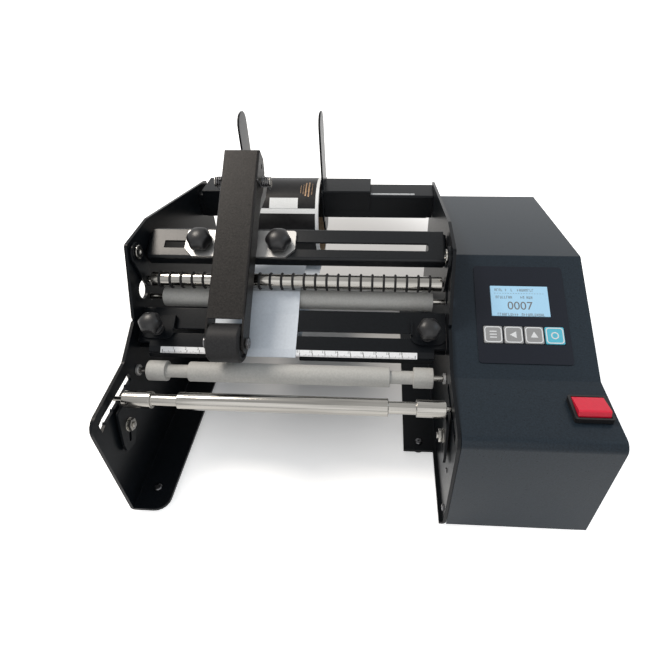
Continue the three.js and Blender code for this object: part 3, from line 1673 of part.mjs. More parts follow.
// Rocker switch in its bezel
const bezelTop = housingShelfZ + bezelHeight;
const rockerPivotZ = housingShelfZ - rockerPivotDrop;
function switchBezel() {
  const rim = upright(rectangle(
    switchX - bezelWidth * half,
    switchX + bezelWidth * half,
    switchY - bezelLength * half,
    switchY + bezelLength * half,
    bezelRadius,
  ), housingShelfZ + gap, bezelTop);
  const body = upright(rectangle(
    switchX - bezelBodyWidth * half,
    switchX + bezelBodyWidth * half,
    switchY - bezelBodyLength * half,
    switchY + bezelBodyLength * half,
  ), housingShelfZ - bezelBodyDepth, housingShelfZ + bezelHeight * half);
  const wellHalf = rockerMidHalf + rockerWellSide;
  const well = block(
    switchX - rockerWidth * half - gap,
    switchX + rockerWidth * half + gap,
    switchY - wellHalf,
    switchY + wellHalf,
    housingShelfZ - bezelBodyDepth + bezelFloor,
    bezelTop + overrun,
  );
  const pinRoom = turned([
    [switchX - rockerWidth * half - rockerPinLength - gap, 0],
    [switchX - rockerWidth * half - rockerPinLength - gap, rockerPinRadius + gap],
    [switchX + rockerWidth * half + rockerPinLength + gap, rockerPinRadius + gap],
    [switchX + rockerWidth * half + rockerPinLength + gap, 0],
  ], switchY, rockerPivotZ, smallSides);
  return cut(joined(rim, body), well, pinRoom);
}
place('switch_bezel', switchBezel(), satinBlack);

function rockerCap() {
  const section = across([
    [-rockerTopHalf, rockerTopHeight, thinSheet],
    [-rockerMidHalf, rockerMidHeight, thinSheet],
    [-rockerLowHalf, -rockerLowDepth, thinSheet],
    [rockerLowHalf, -rockerLowDepth, thinSheet],
    [rockerMidHalf, rockerMidHeight, thinSheet],
    [rockerTopHalf, rockerTopHeight, thinSheet],
  ], switchX - rockerWidth * half, switchX + rockerWidth * half);
  const pins = turned([
    [switchX - rockerWidth * half - rockerPinLength, 0],
    [switchX - rockerWidth * half - rockerPinLength, rockerPinRadius],
    [switchX + rockerWidth * half + rockerPinLength, rockerPinRadius],
    [switchX + rockerWidth * half + rockerPinLength, 0],
  ], 0, 0, smallSides);
  return joined(section, pins);
}
const rockerFrame = slopeFrame(switchY, rockerPivotZ, -rockerTilt);
place('rocker_switch', rockerCap(), redPlastic, rockerFrame);

// Power inlet at the rear
function powerInlet() {
  const centre = (w, h) => rectangle(
    inletX - w * half,
    inletX + w * half,
    inletZ - h * half,
    inletZ + h * half,
  );
  const seat = housingRearY + gap;
  const flange = along(centre(inletWidth, inletHeight + inletFlange), seat, seat + inletFlange);
  const body = along(
    centre(inletBodyWidth, inletBodyHeight),
    housingRearY - inletBodyDepth,
    seat + inletFlange * half,
  );
  const w = inletCavityWidth * half;
  const h = inletCavityHeight * half;
  const mouth = seat + inletFlange;
  const cavity = along([
    [inletX - w, inletZ - h],
    [inletX + w, inletZ - h],
    [inletX + w, inletZ + h - inletCavityChamfer],
    [inletX + w - inletCavityChamfer, inletZ + h],
    [inletX - w + inletCavityChamfer, inletZ + h],
    [inletX - w, inletZ + h - inletCavityChamfer],
  ], mouth - inletCavityDepth, mouth + overrun);
  const pin = (x, z) => block(
    x - inletPinWidth * half,
    x + inletPinWidth * half,
    mouth - inletCavityDepth - inletPinWidth,
    mouth - inletCavityDepth + inletPinLength,
    z - inletPinHeight * half,
    z + inletPinHeight * half,
  );
  return joined(
    cut(joined(flange, body), cavity),
    pin(inletX, inletZ + inletPinRise),
    pin(inletX - inletPinPitch, inletZ - inletPinRise),
    pin(inletX + inletPinPitch, inletZ - inletPinRise),
  );
}
place('power_inlet', powerInlet(), satinBlack);

// Drive: motor on its plate, belt round three pulleys
function beltOutline(radius) {
  const corners = [[driveY, driveZ], [motorY, motorZ], [nipY, nipZ]];
  const out = [];
  for (let i = 0; i < corners.length; i += 1) {
    const here = new THREE.Vector2(...corners[i]);
    const before = here.clone().sub(new THREE.Vector2(...corners[(i + 2) % 3])).normalize();
    const after = new THREE.Vector2(...corners[(i + 1) % 3]).sub(here).normalize();
    const n0 = new THREE.Vector2(before.y, -before.x);
    const n1 = new THREE.Vector2(after.y, -after.x);
    const mid = n0.clone().add(n1).normalize();
    const p = here.clone().addScaledVector(mid, radius / mid.dot(n0));
    out.push([p.x, p.y, radius]);
  }
  return out;
}
function driveBelt() {
  const inner = pulleyX - beltWidth * half;
  const outer = pulleyX + beltWidth * half;
  return cut(
    across(beltOutline(pulleyRadius + gap + beltThickness), inner, outer),
    across(beltOutline(pulleyRadius + gap), inner - overrun, outer + overrun),
  );
}
place('drive_belt', driveBelt(), blackRubber);

function driveMotor() {
  const plate = across([
    [motorY - motorPlateHalf, baseTop + gap],
    [motorY + motorPlateHalf, baseTop + gap],
    [motorY + motorPlateHalf, motorPlateTop, sheet],
    [motorY - motorPlateHalf, motorPlateTop, sheet],
  ], motorX, motorX + motorPlate);
  const can = turned([
    [motorX + motorPlate * half, 0],
    [motorX + motorPlate * half, motorRadius],
    [motorX + motorPlate + motorLength, motorRadius],
    [motorX + motorPlate + motorLength, 0],
  ], motorY, motorZ, midSides);
  const shaftRoom = turned([
    [motorX - overrun, 0],
    [motorX - overrun, motorShaftRadius + gap],
    [motorX + motorPlate + overrun, motorShaftRadius + gap],
    [motorX + motorPlate + overrun, 0],
  ], motorY, motorZ, midSides);
  return cut(joined(plate, can), shaftRoom);
}
place('drive_motor', driveMotor(), steel);

place('motor_pulley', turned([
  [pulleyLeft, 0],
  [pulleyLeft, pulleyFlangeRadius],
  [pulleyLeft + pulleyFlange, pulleyFlangeRadius],
  [pulleyLeft + pulleyFlange, pulleyRadius],
  [pulleyRight - pulleyFlange, pulleyRadius],
  [pulleyRight - pulleyFlange, pulleyFlangeRadius],
  [pulleyRight, pulleyFlangeRadius],
  [pulleyRight, motorShaftRadius],
  [motorX + motorPlate, motorShaftRadius],
  [motorX + motorPlate, 0],
], motorY, motorZ, midSides), satinBlack);

// Controller board under the display, on posts that reach the cover
function controllerBoard() {
  const top = -housingWall - boardDrop;
  const x0 = overlayLeft + boardMargin;
  const x1 = overlayRight - boardMargin;
  const plate = upright(rectangle(x0, x1, overlayFront, overlayRear, thinSheet), top - boardThickness, top);
  const posts = [];
  const inset = boardPostRadius + boardMargin * half;
  const low = top - boardThickness * half;
  for (const x of [x0 + inset, x1 - inset]) {
    for (const s of [overlayFront + inset, overlayRear - inset]) {
      posts.push(upright(circlePoints(x, s, boardPostRadius, smallSides), low, -housingWall - gap));
    }
  }
  return joined(plate, ...posts);
}
place('controller_board', controllerBoard(), boardGreen, faceFrame);

// Power supply with its cooling fins
function powerSupply() {
  const low = baseTop + gap;
  const body = block(supplyLeft, supplyRight, supplyFront, supplyRear, low, low + supplyHeight);
  const fins = [];
  for (let k = 0; k < supplyFinCount; k += 1) {
    const y = (supplyFront + supplyRear) * half + (k - (supplyFinCount - 1) * half) * supplyFinPitch;
    fins.push(block(
      supplyLeft + sheet,
      supplyRight - sheet,
      y - supplyFinWidth * half,
      y + supplyFinWidth * half,
      low + supplyHeight - overrun,
      low + supplyHeight + supplyFinHeight,
    ));
  }
  return joined(body, ...fins);
}
place('power_supply', powerSupply(), zinc);

// The middle of the footprint becomes the origin
const footprintRear = barCentreY + rollOuterRadius;
drawing.position.set(
  -(housingRight - plateOuterHalf) * half,
  -footprintRear * half,
  0,
);

export default group;
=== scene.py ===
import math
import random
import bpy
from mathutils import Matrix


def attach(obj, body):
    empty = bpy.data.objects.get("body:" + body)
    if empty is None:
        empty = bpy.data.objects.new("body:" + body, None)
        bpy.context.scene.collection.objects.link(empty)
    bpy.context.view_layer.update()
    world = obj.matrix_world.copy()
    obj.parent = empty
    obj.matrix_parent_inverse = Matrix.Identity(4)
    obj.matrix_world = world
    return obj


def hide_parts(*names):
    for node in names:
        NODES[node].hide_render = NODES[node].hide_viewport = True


bl_info = {
    "name": "Desk label applicator",
    "version": (1, 0, 0),
    "blender": (4, 5, 0),
    "location": "View3D > Sidebar > Applicator",
    "description": "Dresses the label applicator's packed frame with fine surfaces and finishes",
    "category": "Add Mesh",
}

import bmesh
import bpy
from mathutils import Matrix, Vector

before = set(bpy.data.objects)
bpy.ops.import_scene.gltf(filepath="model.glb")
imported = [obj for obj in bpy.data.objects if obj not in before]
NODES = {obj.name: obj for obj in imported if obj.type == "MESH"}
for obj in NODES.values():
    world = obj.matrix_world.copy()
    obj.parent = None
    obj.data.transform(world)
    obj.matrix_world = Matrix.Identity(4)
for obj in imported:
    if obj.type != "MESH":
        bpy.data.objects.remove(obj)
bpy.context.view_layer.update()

MM = 0.001
PLAN_SHIFT = Vector((-53.0, -167.5, 0.0))


# Places and directions: the drawing frame has X = 0 midway between the side plates
def at(x, y, z):
    """A point of the drawing frame, in millimetres, as a point of the row frame in metres."""
    return (Vector((x, y, z)) + PLAN_SHIFT) * MM


def slope_matrix(y, z, degrees, x=0.0):
    """A face frame: X stays, Y runs up the slope, Z stands off it. Its units are millimetres."""
    turn = Matrix.Rotation(math.radians(degrees), 4, "X")
    return Matrix.Translation(at(x, y, z)) @ turn @ Matrix.Scale(MM, 4)


def axle_matrix(y, z, x=0.0):
    """A turning frame whose local Z is the row's +X. Its units are millimetres."""
    turn = Matrix.Rotation(math.radians(90), 4, "Y")
    return Matrix.Translation(at(x, y, z)) @ turn @ Matrix.Scale(MM, 4)


# Mesh makers
SMOOTH_ANGLE, GRIP_ANGLE, SPRING_ANGLE = 32.0, 48.0, 50.0


def new_piece(name, mesh, body, slot, finish=None, stands_for=(), smooth_angle=SMOOTH_ANGLE):
    """Links a finished mesh as a piece that rides on a body, with the slot's own finish or a named one."""
    piece = bpy.data.objects.new(name, mesh)
    bpy.context.scene.collection.objects.link(piece)
    mesh.name = name
    mesh.materials.clear()
    mesh.materials.append(FINISHES[finish or slot])
    shade_by_angle(mesh, smooth_angle)
    even = piece.modifiers.new("even_normals", "WEIGHTED_NORMAL")
    even.keep_sharp = True
    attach(piece, body)
    if stands_for:
        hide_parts(*stands_for)
    return piece


def stand_in(node, mesh, body, slot, finish=None, smooth_angle=SMOOTH_ANGLE):
    """Links a mesh as the finer form of one carried-over solid."""
    return new_piece(node + "_fine", mesh, body, slot, finish, (node,), smooth_angle)


def shade_by_angle(mesh, degrees):
    """Smooth shading with the edges sharper than the angle kept crisp."""
    work = bmesh.new()
    work.from_mesh(mesh)
    limit = math.radians(degrees)
    for face in work.faces:
        face.smooth = True
    for edge in work.edges:
        edge.smooth = len(edge.link_faces) == 2 and edge.calc_face_angle(0.0) < limit
    work.to_mesh(mesh)
    work.free()


def round_edges(work, edges, width, segments, clamp):
    bmesh.ops.bevel(
        work,
        geom=edges,
        offset=width * MM,
        offset_type="OFFSET",
        segments=segments,
        profile=0.5,
        affect="EDGES",
        clamp_overlap=clamp,
        harden_normals=False,
        miter_outer="ARC",
    )


HARD_ANGLE, FLAT_ANGLE = math.radians(28.0), math.radians(0.6)
WELD = 0.02 * MM
EDGE_STEPS, WIDE_STEPS = 2, 5


def softened(node, width, warp=None, wide=None, wide_width=0.0):
    """A copy of a carried-over solid whose hard edges are broken by a small round.

    A warp moves its points first, and the edges that wide picks get their own larger round."""
    work = bmesh.new()
    work.from_mesh(NODES[node].data)
    if warp:
        for vert in work.verts:
            vert.co = at(*warp(vert.co / MM - PLAN_SHIFT))
    bmesh.ops.remove_doubles(work, verts=work.verts, dist=WELD)
    bmesh.ops.dissolve_limit(
        work,
        angle_limit=FLAT_ANGLE,
        verts=work.verts,
        edges=work.edges,
        use_dissolve_boundaries=False,
    )
    if wide:
        picked = [e for e in work.edges if all(wide(v.co / MM - PLAN_SHIFT) for v in e.verts)]
        picked = [e for e in picked if e.calc_face_angle(0.0) > HARD_ANGLE]
        round_edges(work, picked, wide_width, WIDE_STEPS, False)
    sharp = [e for e in work.edges if len(e.link_faces) == 2 and e.calc_face_angle(0.0) > HARD_ANGLE]
    if width > 0 and sharp:
        round_edges(work, sharp, width, EDGE_STEPS, True)
    bmesh.ops.triangulate(work, faces=[f for f in work.faces if len(f.verts) > 4])
    return finished(work)


def finished(work):
    """Turns a bmesh into a mesh with outward faces."""
    bmesh.ops.recalc_face_normals(work, faces=work.faces)
    mesh = bpy.data.meshes.new("mesh")
    work.to_mesh(mesh)
    work.free()
    return mesh


def turned(profile, matrix, sides=96):
    """A turned mesh about local Z from [z, radius] pairs, with caps where the radius is nil."""
    work = bmesh.new()
    rings = []
    for z, radius in profile:
        if radius <= 1e-6:
            rings.append([work.verts.new((0, 0, z))])
            continue
        ring = []
        for k in range(sides):
            a = math.tau * k / sides
            ring.append(work.verts.new((radius * math.cos(a), radius * math.sin(a), z)))
        rings.append(ring)
    for low, high in zip(rings, rings[1:]):
        for k in range(sides):
            n = (k + 1) % sides
            if len(low) == 1 and len(high) == 1:
                continue
            if len(low) == 1:
                work.faces.new((low[0], high[n], high[k]))
            elif len(high) == 1:
                work.faces.new((low[k], low[n], high[0]))
            else:
                work.faces.new((low[k], low[n], high[n], high[k]))
    bmesh.ops.transform(work, matrix=matrix, verts=work.verts)
    return finished(work)


def eased(profile, radius, steps=4):
    """A profile of [z, radius] pairs with its corners rounded."""
    points = [Vector(p) for p in profile]
    out = [points[0]]
    for before, here, after in zip(points, points[1:], points[2:]):
        a, b = before - here, after - here
        if a.length < 1e-9 or b.length < 1e-9:
            continue
        reach = min(radius, a.length * 0.45, b.length * 0.45)
        a.normalize()
        b.normalize()
        if abs(a.dot(b) + 1) < 1e-4:
            out.append(here)
            continue
        start, end = here + a * reach, here + b * reach
        for k in range(steps + 1):
            t = k / steps
            out.append(start * (1 - t) ** 2 + here * (2 * t * (1 - t)) + end * t * t)
    out.append(points[-1])
    return [(p.x, max(p.y, 0.0)) for p in out]


def tube(points, radius, sides):
    """A round wire along points in metres, with flat ends."""
    work = bmesh.new()
    rings = []
    count = len(points)
    guide = Vector((1, 0, 0))
    for i, p in enumerate(points):
        direction = points[min(i + 1, count - 1)] - points[max(i - 1, 0)]
        direction.normalize()
        u = guide - direction * guide.dot(direction)
        if u.length < 1e-6:
            u = direction.orthogonal()
        u.normalize()
        v = direction.cross(u)
        ring = []
        for k in range(sides):
            a = math.tau * k / sides
            ring.append(work.verts.new(p + (u * math.cos(a) + v * math.sin(a)) * radius))
        rings.append(ring)
    for a, b in zip(rings, rings[1:]):
        for k in range(sides):
            n = (k + 1) % sides
            work.faces.new((a[k], a[n], b[n], b[k]))
    work.faces.new(list(reversed(rings[0])))
    work.faces.new(rings[-1])
    return finished(work)


def slab(work, outline, low, high, matrix):
    """Adds a straight-sided slab of an outline in local X and Y to a bmesh."""
    base = [work.verts.new(matrix @ Vector((x, y, low))) for x, y in outline]
    top = [work.verts.new(matrix @ Vector((x, y, high))) for x, y in outline]
    n = len(outline)
    work.faces.new(list(reversed(base)))
    work.faces.new(top)
    for k in range(n):
        m = (k + 1) % n
        work.faces.new((base[k], base[m], top[m], top[k]))


def rounded_rectangle(x0, x1, y0, y1, radius, steps=6):
    """Corner points of a rectangle with round corners, counter-clockwise."""
    out = []
    corners = (
        (x1 - radius, y1 - radius, 0),
        (x0 + radius, y1 - radius, 90),
        (x0 + radius, y0 + radius, 180),
        (x1 - radius, y0 + radius, 270),
    )
    for cx, cy, start in corners:
        for k in range(steps + 1):
            a = math.radians(start + 90 * k / steps)
            out.append((cx + radius * math.cos(a), cy + radius * math.sin(a)))
    return out


# Finishes
FINISHES = {}
RELIEF = 0.2 * MM
RAMP_ENDS = (0.3, 0.7)

# Slot, name, the user's colour, shares of it in dark and light spots, roughness, its range, grain, bump, rest
SET_FINISHES = (
    ("black_paint", "black_powder_coat", "black_paint", (0.8, 1.25), 0.4, (0.24, 0.36), 900, 0.2,
     {"specular": 0.11}),
    ("rail_paint", "rail_powder_coat", "black_paint", (0.8, 1.25), 0.4, (0.24, 0.36), 900, 0.2,
     {"specular": 0.22}),
    ("housing_paint", "housing_powder_coat", "housing_black", (0.8, 1.25), 0.4, (0.24, 0.36), 900, 0.2,
     {"specular": 0.16}),
    ("satin_black", "sparkled_black_coat", "arm_black", (0.45, 2.6), 0.42, (0.28, 0.5), 620, 0.9,
     {"metallic": 0.04, "specular": 0.17, "detail": 6, "unevenness": 0.75}),
    ("polished_steel", "polished_steel", "steel", (0.72, 1.2), 0.14, (0.08, 0.19), 420, 0.08,
     {"metallic": 1.0, "stretch": (0.03, 1, 1)}),
    ("zinc", "zinc_plate", "zinc", (0.86, 1.08), 0.32, (0.36, 0.52), 90, 0.1, {"metallic": 0.95}),
    ("gray_rubber", "gray_roller_rubber", "gray_rubber", (0.9, 1.07), 0.62, (0.52, 0.7), 700, 0.25, {}),
    ("overlay_film", "overlay_film", "overlay", (0.85, 1.2), 0.34, (0.3, 0.42), 1600, 0.2,
     {"specular": 0.18}),
    ("gray_key", "gray_key_film", "gray_key", (0.93, 1.05), 0.38, (0.32, 0.44), 1500, 0.15, {}),
    ("blue_key", "blue_key_film", "blue_key", (0.93, 1.05), 0.38, (0.32, 0.44), 1500, 0.15, {}),
    ("red_plastic", "red_rocker", "rocker_red", (0.95, 1.03), 0.26, (0.2, 0.28), 300, 0.05,
     {"specular": 0.3}),
    ("liner_paper", "glazed_liner", "liner", (0.95, 1.03), 0.34, (0.26, 0.4), 500, 0.08, {}),
)

# Slot, name, colour, its dark and light spots, roughness, its range, grain, bump, the rest
FIXED_FINISHES = (
    ("black_plastic", "black_moulding", (0.01, 0.01, 0.011), (0.008, 0.008, 0.009), (0.013, 0.013, 0.014),
     0.36, (0.28, 0.42), 1200, 0.15, {"specular": 0.34}),
    ("dark_steel", "dark_steel", (0.12, 0.12, 0.125), (0.1, 0.1, 0.105), (0.14, 0.14, 0.145),
     0.3, (0.24, 0.38), 300, 0.1, {"metallic": 1.0}),
    ("black_rubber", "black_rubber", (0.013, 0.013, 0.014), (0.009, 0.009, 0.01), (0.02, 0.02, 0.021),
     0.5, (0.42, 0.6), 800, 0.35, {"specular": 0.17}),
    ("label_stock", "label_stock", (0.009, 0.0085, 0.009), (0.007, 0.0065, 0.007), (0.012, 0.0115, 0.012),
     0.34, (0.28, 0.4), 240, 0.05, {"specular": 0.2}),
    ("card_core", "card_core", (0.36, 0.26, 0.16), (0.3, 0.21, 0.13), (0.42, 0.31, 0.2),
     0.85, (0.8, 0.92), 420, 0.5, {}),
    ("circuit_board", "circuit_board", (0.02, 0.12, 0.05), (0.015, 0.09, 0.04), (0.03, 0.15, 0.07),
     0.4, (0.34, 0.5), 400, 0.1, {}),
    ("white_print", "white_print", (0.78, 0.8, 0.82), (0.74, 0.76, 0.78), (0.82, 0.84, 0.86),
     0.5, (0.44, 0.56), 900, 0.05, {}),
    ("gray_print", "gray_print", (0.4, 0.42, 0.44), (0.37, 0.39, 0.41), (0.43, 0.45, 0.47),
     0.5, (0.44, 0.56), 900, 0.05, {}),
    ("dark_print", "dark_print", (0.02, 0.022, 0.025), (0.015, 0.016, 0.02), (0.03, 0.032, 0.035),
     0.5, (0.44, 0.56), 900, 0.05, {}),
    ("roll_paper", "roll_paper", (0.8, 0.82, 0.83), (0.74, 0.76, 0.77), (0.83, 0.85, 0.86),
     0.6, (0.55, 0.7), 900, 0.2, {}),
    ("display_ink", "display_ink", (0.13, 0.13, 0.13), (0.12, 0.12, 0.12), (0.15, 0.145, 0.14),
     0.4, (0.36, 0.46), 900, 0.02, {}),
    ("key_print", "key_print", (0.62, 0.64, 0.66), (0.58, 0.6, 0.62), (0.66, 0.68, 0.7),
     0.45, (0.4, 0.5), 900, 0.02, {}),
    ("gold_print", "gold_print", (0.42, 0.26, 0.15), (0.36, 0.22, 0.12), (0.48, 0.31, 0.18),
     0.4, (0.34, 0.46), 500, 0.05, {"metallic": 0.4}),
)


def add_node(tree, kind, **values):
    """Adds a shader node and sets its inputs, in whose names _ stands for a blank."""
    made = tree.nodes.new("ShaderNode" + kind)
    for name, value in values.items():
        made.inputs[name.replace("_", " ")].default_value = value
    return made


def add_ramp(tree, colours, places):
    """Adds a colour ramp between two colours."""
    ramp = tree.nodes.new("ShaderNodeValToRGB")
    for element, colour, place in zip(ramp.color_ramp.elements, colours, places):
        element.color = (*colour, 1)
        element.position = place
    return ramp


def shaded(colour, share):
    """A colour made darker or lighter, at most white."""
    return tuple(min(c * share, 1) for c in colour)


def finish_of(name, colour, roughness, metallic=0.0, specular=0.5):
    """A fresh procedural finish and its shader."""
    material = bpy.data.materials.new(name)
    material.use_nodes = True
    shader = material.node_tree.nodes["Principled BSDF"]
    shader.inputs["Base Color"].default_value = (*colour, 1)
    shader.inputs["Roughness"].default_value = roughness
    shader.inputs["Metallic"].default_value = metallic
    shader.inputs["Specular IOR Level"].default_value = specular
    return material, shader


def mottled(name, colour, dark, light, roughness, gloss_range, scale, bump,
            metallic=0.0, specular=0.5, detail=4.0, unevenness=0.5, stretch=(1, 1, 1)):
    """A finish with fine mottling of colour and gloss and a matching bump, in object space."""
    material, shader = finish_of(name, colour, roughness, metallic, specular)
    tree = material.node_tree
    coords = tree.nodes.new("ShaderNodeTexCoord")
    mapping = add_node(tree, "Mapping", Scale=stretch)
    speckle = add_node(tree, "TexNoise", Scale=scale, Detail=detail, Roughness=unevenness)
    ramp = add_ramp(tree, (dark, light), RAMP_ENDS)
    gloss = add_node(tree, "MapRange", To_Min=gloss_range[0], To_Max=gloss_range[1])
    relief = add_node(tree, "Bump", Strength=bump, Distance=RELIEF)
    for out, into in (
        (coords.outputs["Object"], mapping.inputs["Vector"]),
        (mapping.outputs["Vector"], speckle.inputs["Vector"]),
        (speckle.outputs["Fac"], ramp.inputs["Fac"]),
        (speckle.outputs["Fac"], gloss.inputs["Value"]),
        (speckle.outputs["Fac"], relief.inputs["Height"]),
        (ramp.outputs["Color"], shader.inputs["Base Color"]),
        (gloss.outputs["Result"], shader.inputs["Roughness"]),
        (relief.outputs["Normal"], shader.inputs["Normal"]),
    ):
        tree.links.new(out, into)
    return material, shader


def make_finishes(colours):
    """Builds every finish once, from the colours a user can set and from fixed ones."""
    for slot, name, setting, (dark, light), *look, extra in SET_FINISHES:
        colour = tuple(getattr(colours, setting))
        FINISHES[slot], _ = mottled(name, colour, shaded(colour, dark), shaded(colour, light), *look, **extra)
    for slot, name, *look, extra in FIXED_FINISHES:
        FINISHES[slot], _ = mottled(name, *look, **extra)
    FINISHES["display_window"] = display_window_finish(tuple(colours.display))


DOT_GRID, DOT_GAP, DISPLAY_GLOW = 1400, 0.06, 0.35


def display_window_finish(colour):
    """A lit liquid-crystal panel: pale blue, evenly lit, with a faint dot grid."""
    material, shader = finish_of("lit_display", colour, 0.12)
    tree = material.node_tree
    coords = tree.nodes.new("ShaderNodeTexCoord")
    dots = add_node(tree, "TexBrick", Scale=DOT_GRID, Mortar_Size=DOT_GAP, Color1=(*colour, 1),
                    Color2=(*shaded(colour, 0.97), 1), Mortar=(*shaded(colour, 0.9), 1))
    tree.links.new(coords.outputs["Object"], dots.inputs["Vector"])
    tree.links.new(dots.outputs["Color"], shader.inputs["Base Color"])
    tree.links.new(dots.outputs["Color"], shader.inputs["Emission Color"])
    shader.inputs["Emission Strength"].default_value = DISPLAY_GLOW
    return material


# Settings that a user can change
def colour_setting(name, description, default):
    return bpy.props.FloatVectorProperty(
        name=name, description=description, default=default, subtype="COLOR", size=3, min=0.0, max=1.0,
    )


def size_setting(name, description, default_mm, low=0.0):
    return bpy.props.FloatProperty(
        name=name, description=description, default=default_mm * MM, min=low * MM, unit="LENGTH", precision=5,
    )


class ApplicatorColours(bpy.types.PropertyGroup):
    black_paint: colour_setting("Black paint", "Powder coat of the plates", (0.0045, 0.0056, 0.0072))
    housing_black: colour_setting("Housing paint", "Powder coat of the housing", (0.012, 0.019, 0.027))
    arm_black: colour_setting("Arm coat", "Sparkled coat of the pressing arm", (0.0095, 0.0086, 0.008))
    steel: colour_setting("Steel", "Idler roller, shafts and screws", (0.3, 0.29, 0.27))
    zinc: colour_setting("Zinc", "Bracket of the pressing arm", (0.37, 0.37, 0.365))
    gray_rubber: colour_setting("Gray rubber", "Drive roller and nip roller", (0.4, 0.4, 0.385))
    display: colour_setting("Display", "Lit display window", (0.28, 0.48, 0.64))
    overlay: colour_setting("Overlay", "Film round display and keys", (0.006, 0.008, 0.014))
    gray_key: colour_setting("Gray keys", "Three of the keys", (0.24, 0.245, 0.25))
    blue_key: colour_setting("Blue key", "The fourth key", (0.08, 0.42, 0.55))
    rocker_red: colour_setting("Rocker", "Rocker of the power switch", (0.62, 0.012, 0.04))
    liner: colour_setting("Liner", "Backing paper of the web", (0.55, 0.6, 0.66))
    floor: colour_setting("Floor", "Floor under the object", (0.9, 0.9, 0.9))


class ApplicatorSizes(bpy.types.PropertyGroup):
    edge_round: size_setting("Edge round", "Small round on the edges of sheet pieces", 0.35)
    mould_round: size_setting("Moulding round", "Round on the edges of moulded pieces", 0.8)
    arm_round: size_setting("Arm round", "Round along the outer edges of the pressing arm", 1.9)
    roller_edge: size_setting("Roller edge", "Round at the ends of roller bodies", 0.5)
    ring_thickness: size_setting(
        "Ring thickness", "Thickness of the rubber rings on the pressure roller", 1.9,
    )
    spring_wire: size_setting("Spring wire", "Thickness of the torsion springs' wire", 1.0)
    mark_width: size_setting("Mark width", "Width of the scale marks", 0.28)
    print_lift: size_setting("Print lift", "Height of printed marks over their surface", 0.06)


def settings(context):
    return context.scene.applicator_sizes, context.scene.applicator_colours


class ApplicatorOperator:
    """Shared options of the applicator's making steps."""

    bl_options = {"REGISTER", "UNDO"}


# Stage: the camera in the drawing frame, lamps and floor in metres
CAMERA_PLACE = (69.713, -201.299, 363.086)
CAMERA_PITCH = 39.9145
CAMERA_YAW = -4.2366
CAMERA_ROLL = -1.3373
FOCAL_PIXELS = 491.184
CENTRE_PIXEL = (350.775, 334.871)
PHOTO_PIXELS = 666
SENSOR_WIDTH = 36
CLIP_START = 0.01
FLOOR_REACH = 6.0
# Painted shade: a soft, darker patch of floor colour behind the object. These set its place, its stretch, its
# darkest share of the floor colour and its reach.
PAINTED_SHADE_PLACE, PAINTED_SHADE_STRETCH = (-0.05, 0.17, 0), (0.85, 1, 1)
PAINTED_SHADE_SHARE, PAINTED_SHADE_REACH = 0.62, (0.16, 0.36)
GLOW_LEVEL, GLOW_REACH = 0.8, (0.14, 0.42)
WORLD_LIGHT, WORLD_SEEN = 0.48, 1.0
LAMP_TARGET = Vector((0, 0, 0.08))
LAMPS = (
    ("warm_lamp", (-0.68, 0.18, 1.3), 0.42, 14.0, (1.0, 0.92, 0.83)),
    ("cool_lamp", (0.95, -0.05, 1.05), 0.6, 1.8, (0.66, 0.84, 1.0)),
    ("front_lamp", (0.0, -1.3, 0.75), 1.3, 4.5, (1.0, 1.0, 1.0)),
)


def camera_axes():
    """Right, up and forward of the photograph's view."""
    pitch, yaw, roll = (math.radians(v) for v in (CAMERA_PITCH, CAMERA_YAW, CAMERA_ROLL))
    forward = Vector((math.sin(yaw) * math.cos(pitch), math.cos(yaw) * math.cos(pitch), -math.sin(pitch)))
    right = Vector((math.cos(yaw), -math.sin(yaw), 0))
    up = right.cross(forward)
    return (
        right * math.cos(roll) + up * math.sin(roll),
        up * math.cos(roll) - right * math.sin(roll),
        forward,
    )


def rays_that_see(tree):
    """One for camera, glossy and transmission rays, and nil for the rays that only carry light."""
    path = tree.nodes.new("ShaderNodeLightPath")
    seen = path.outputs["Is Camera Ray"]
    for kind in ("Is Glossy Ray", "Is Transmission Ray"):
        either = tree.nodes.new("ShaderNodeMath")
        either.operation = "MAXIMUM"
        tree.links.new(seen, either.inputs[0])
        tree.links.new(path.outputs[kind], either.inputs[1])
        seen = either.outputs[0]
    return seen


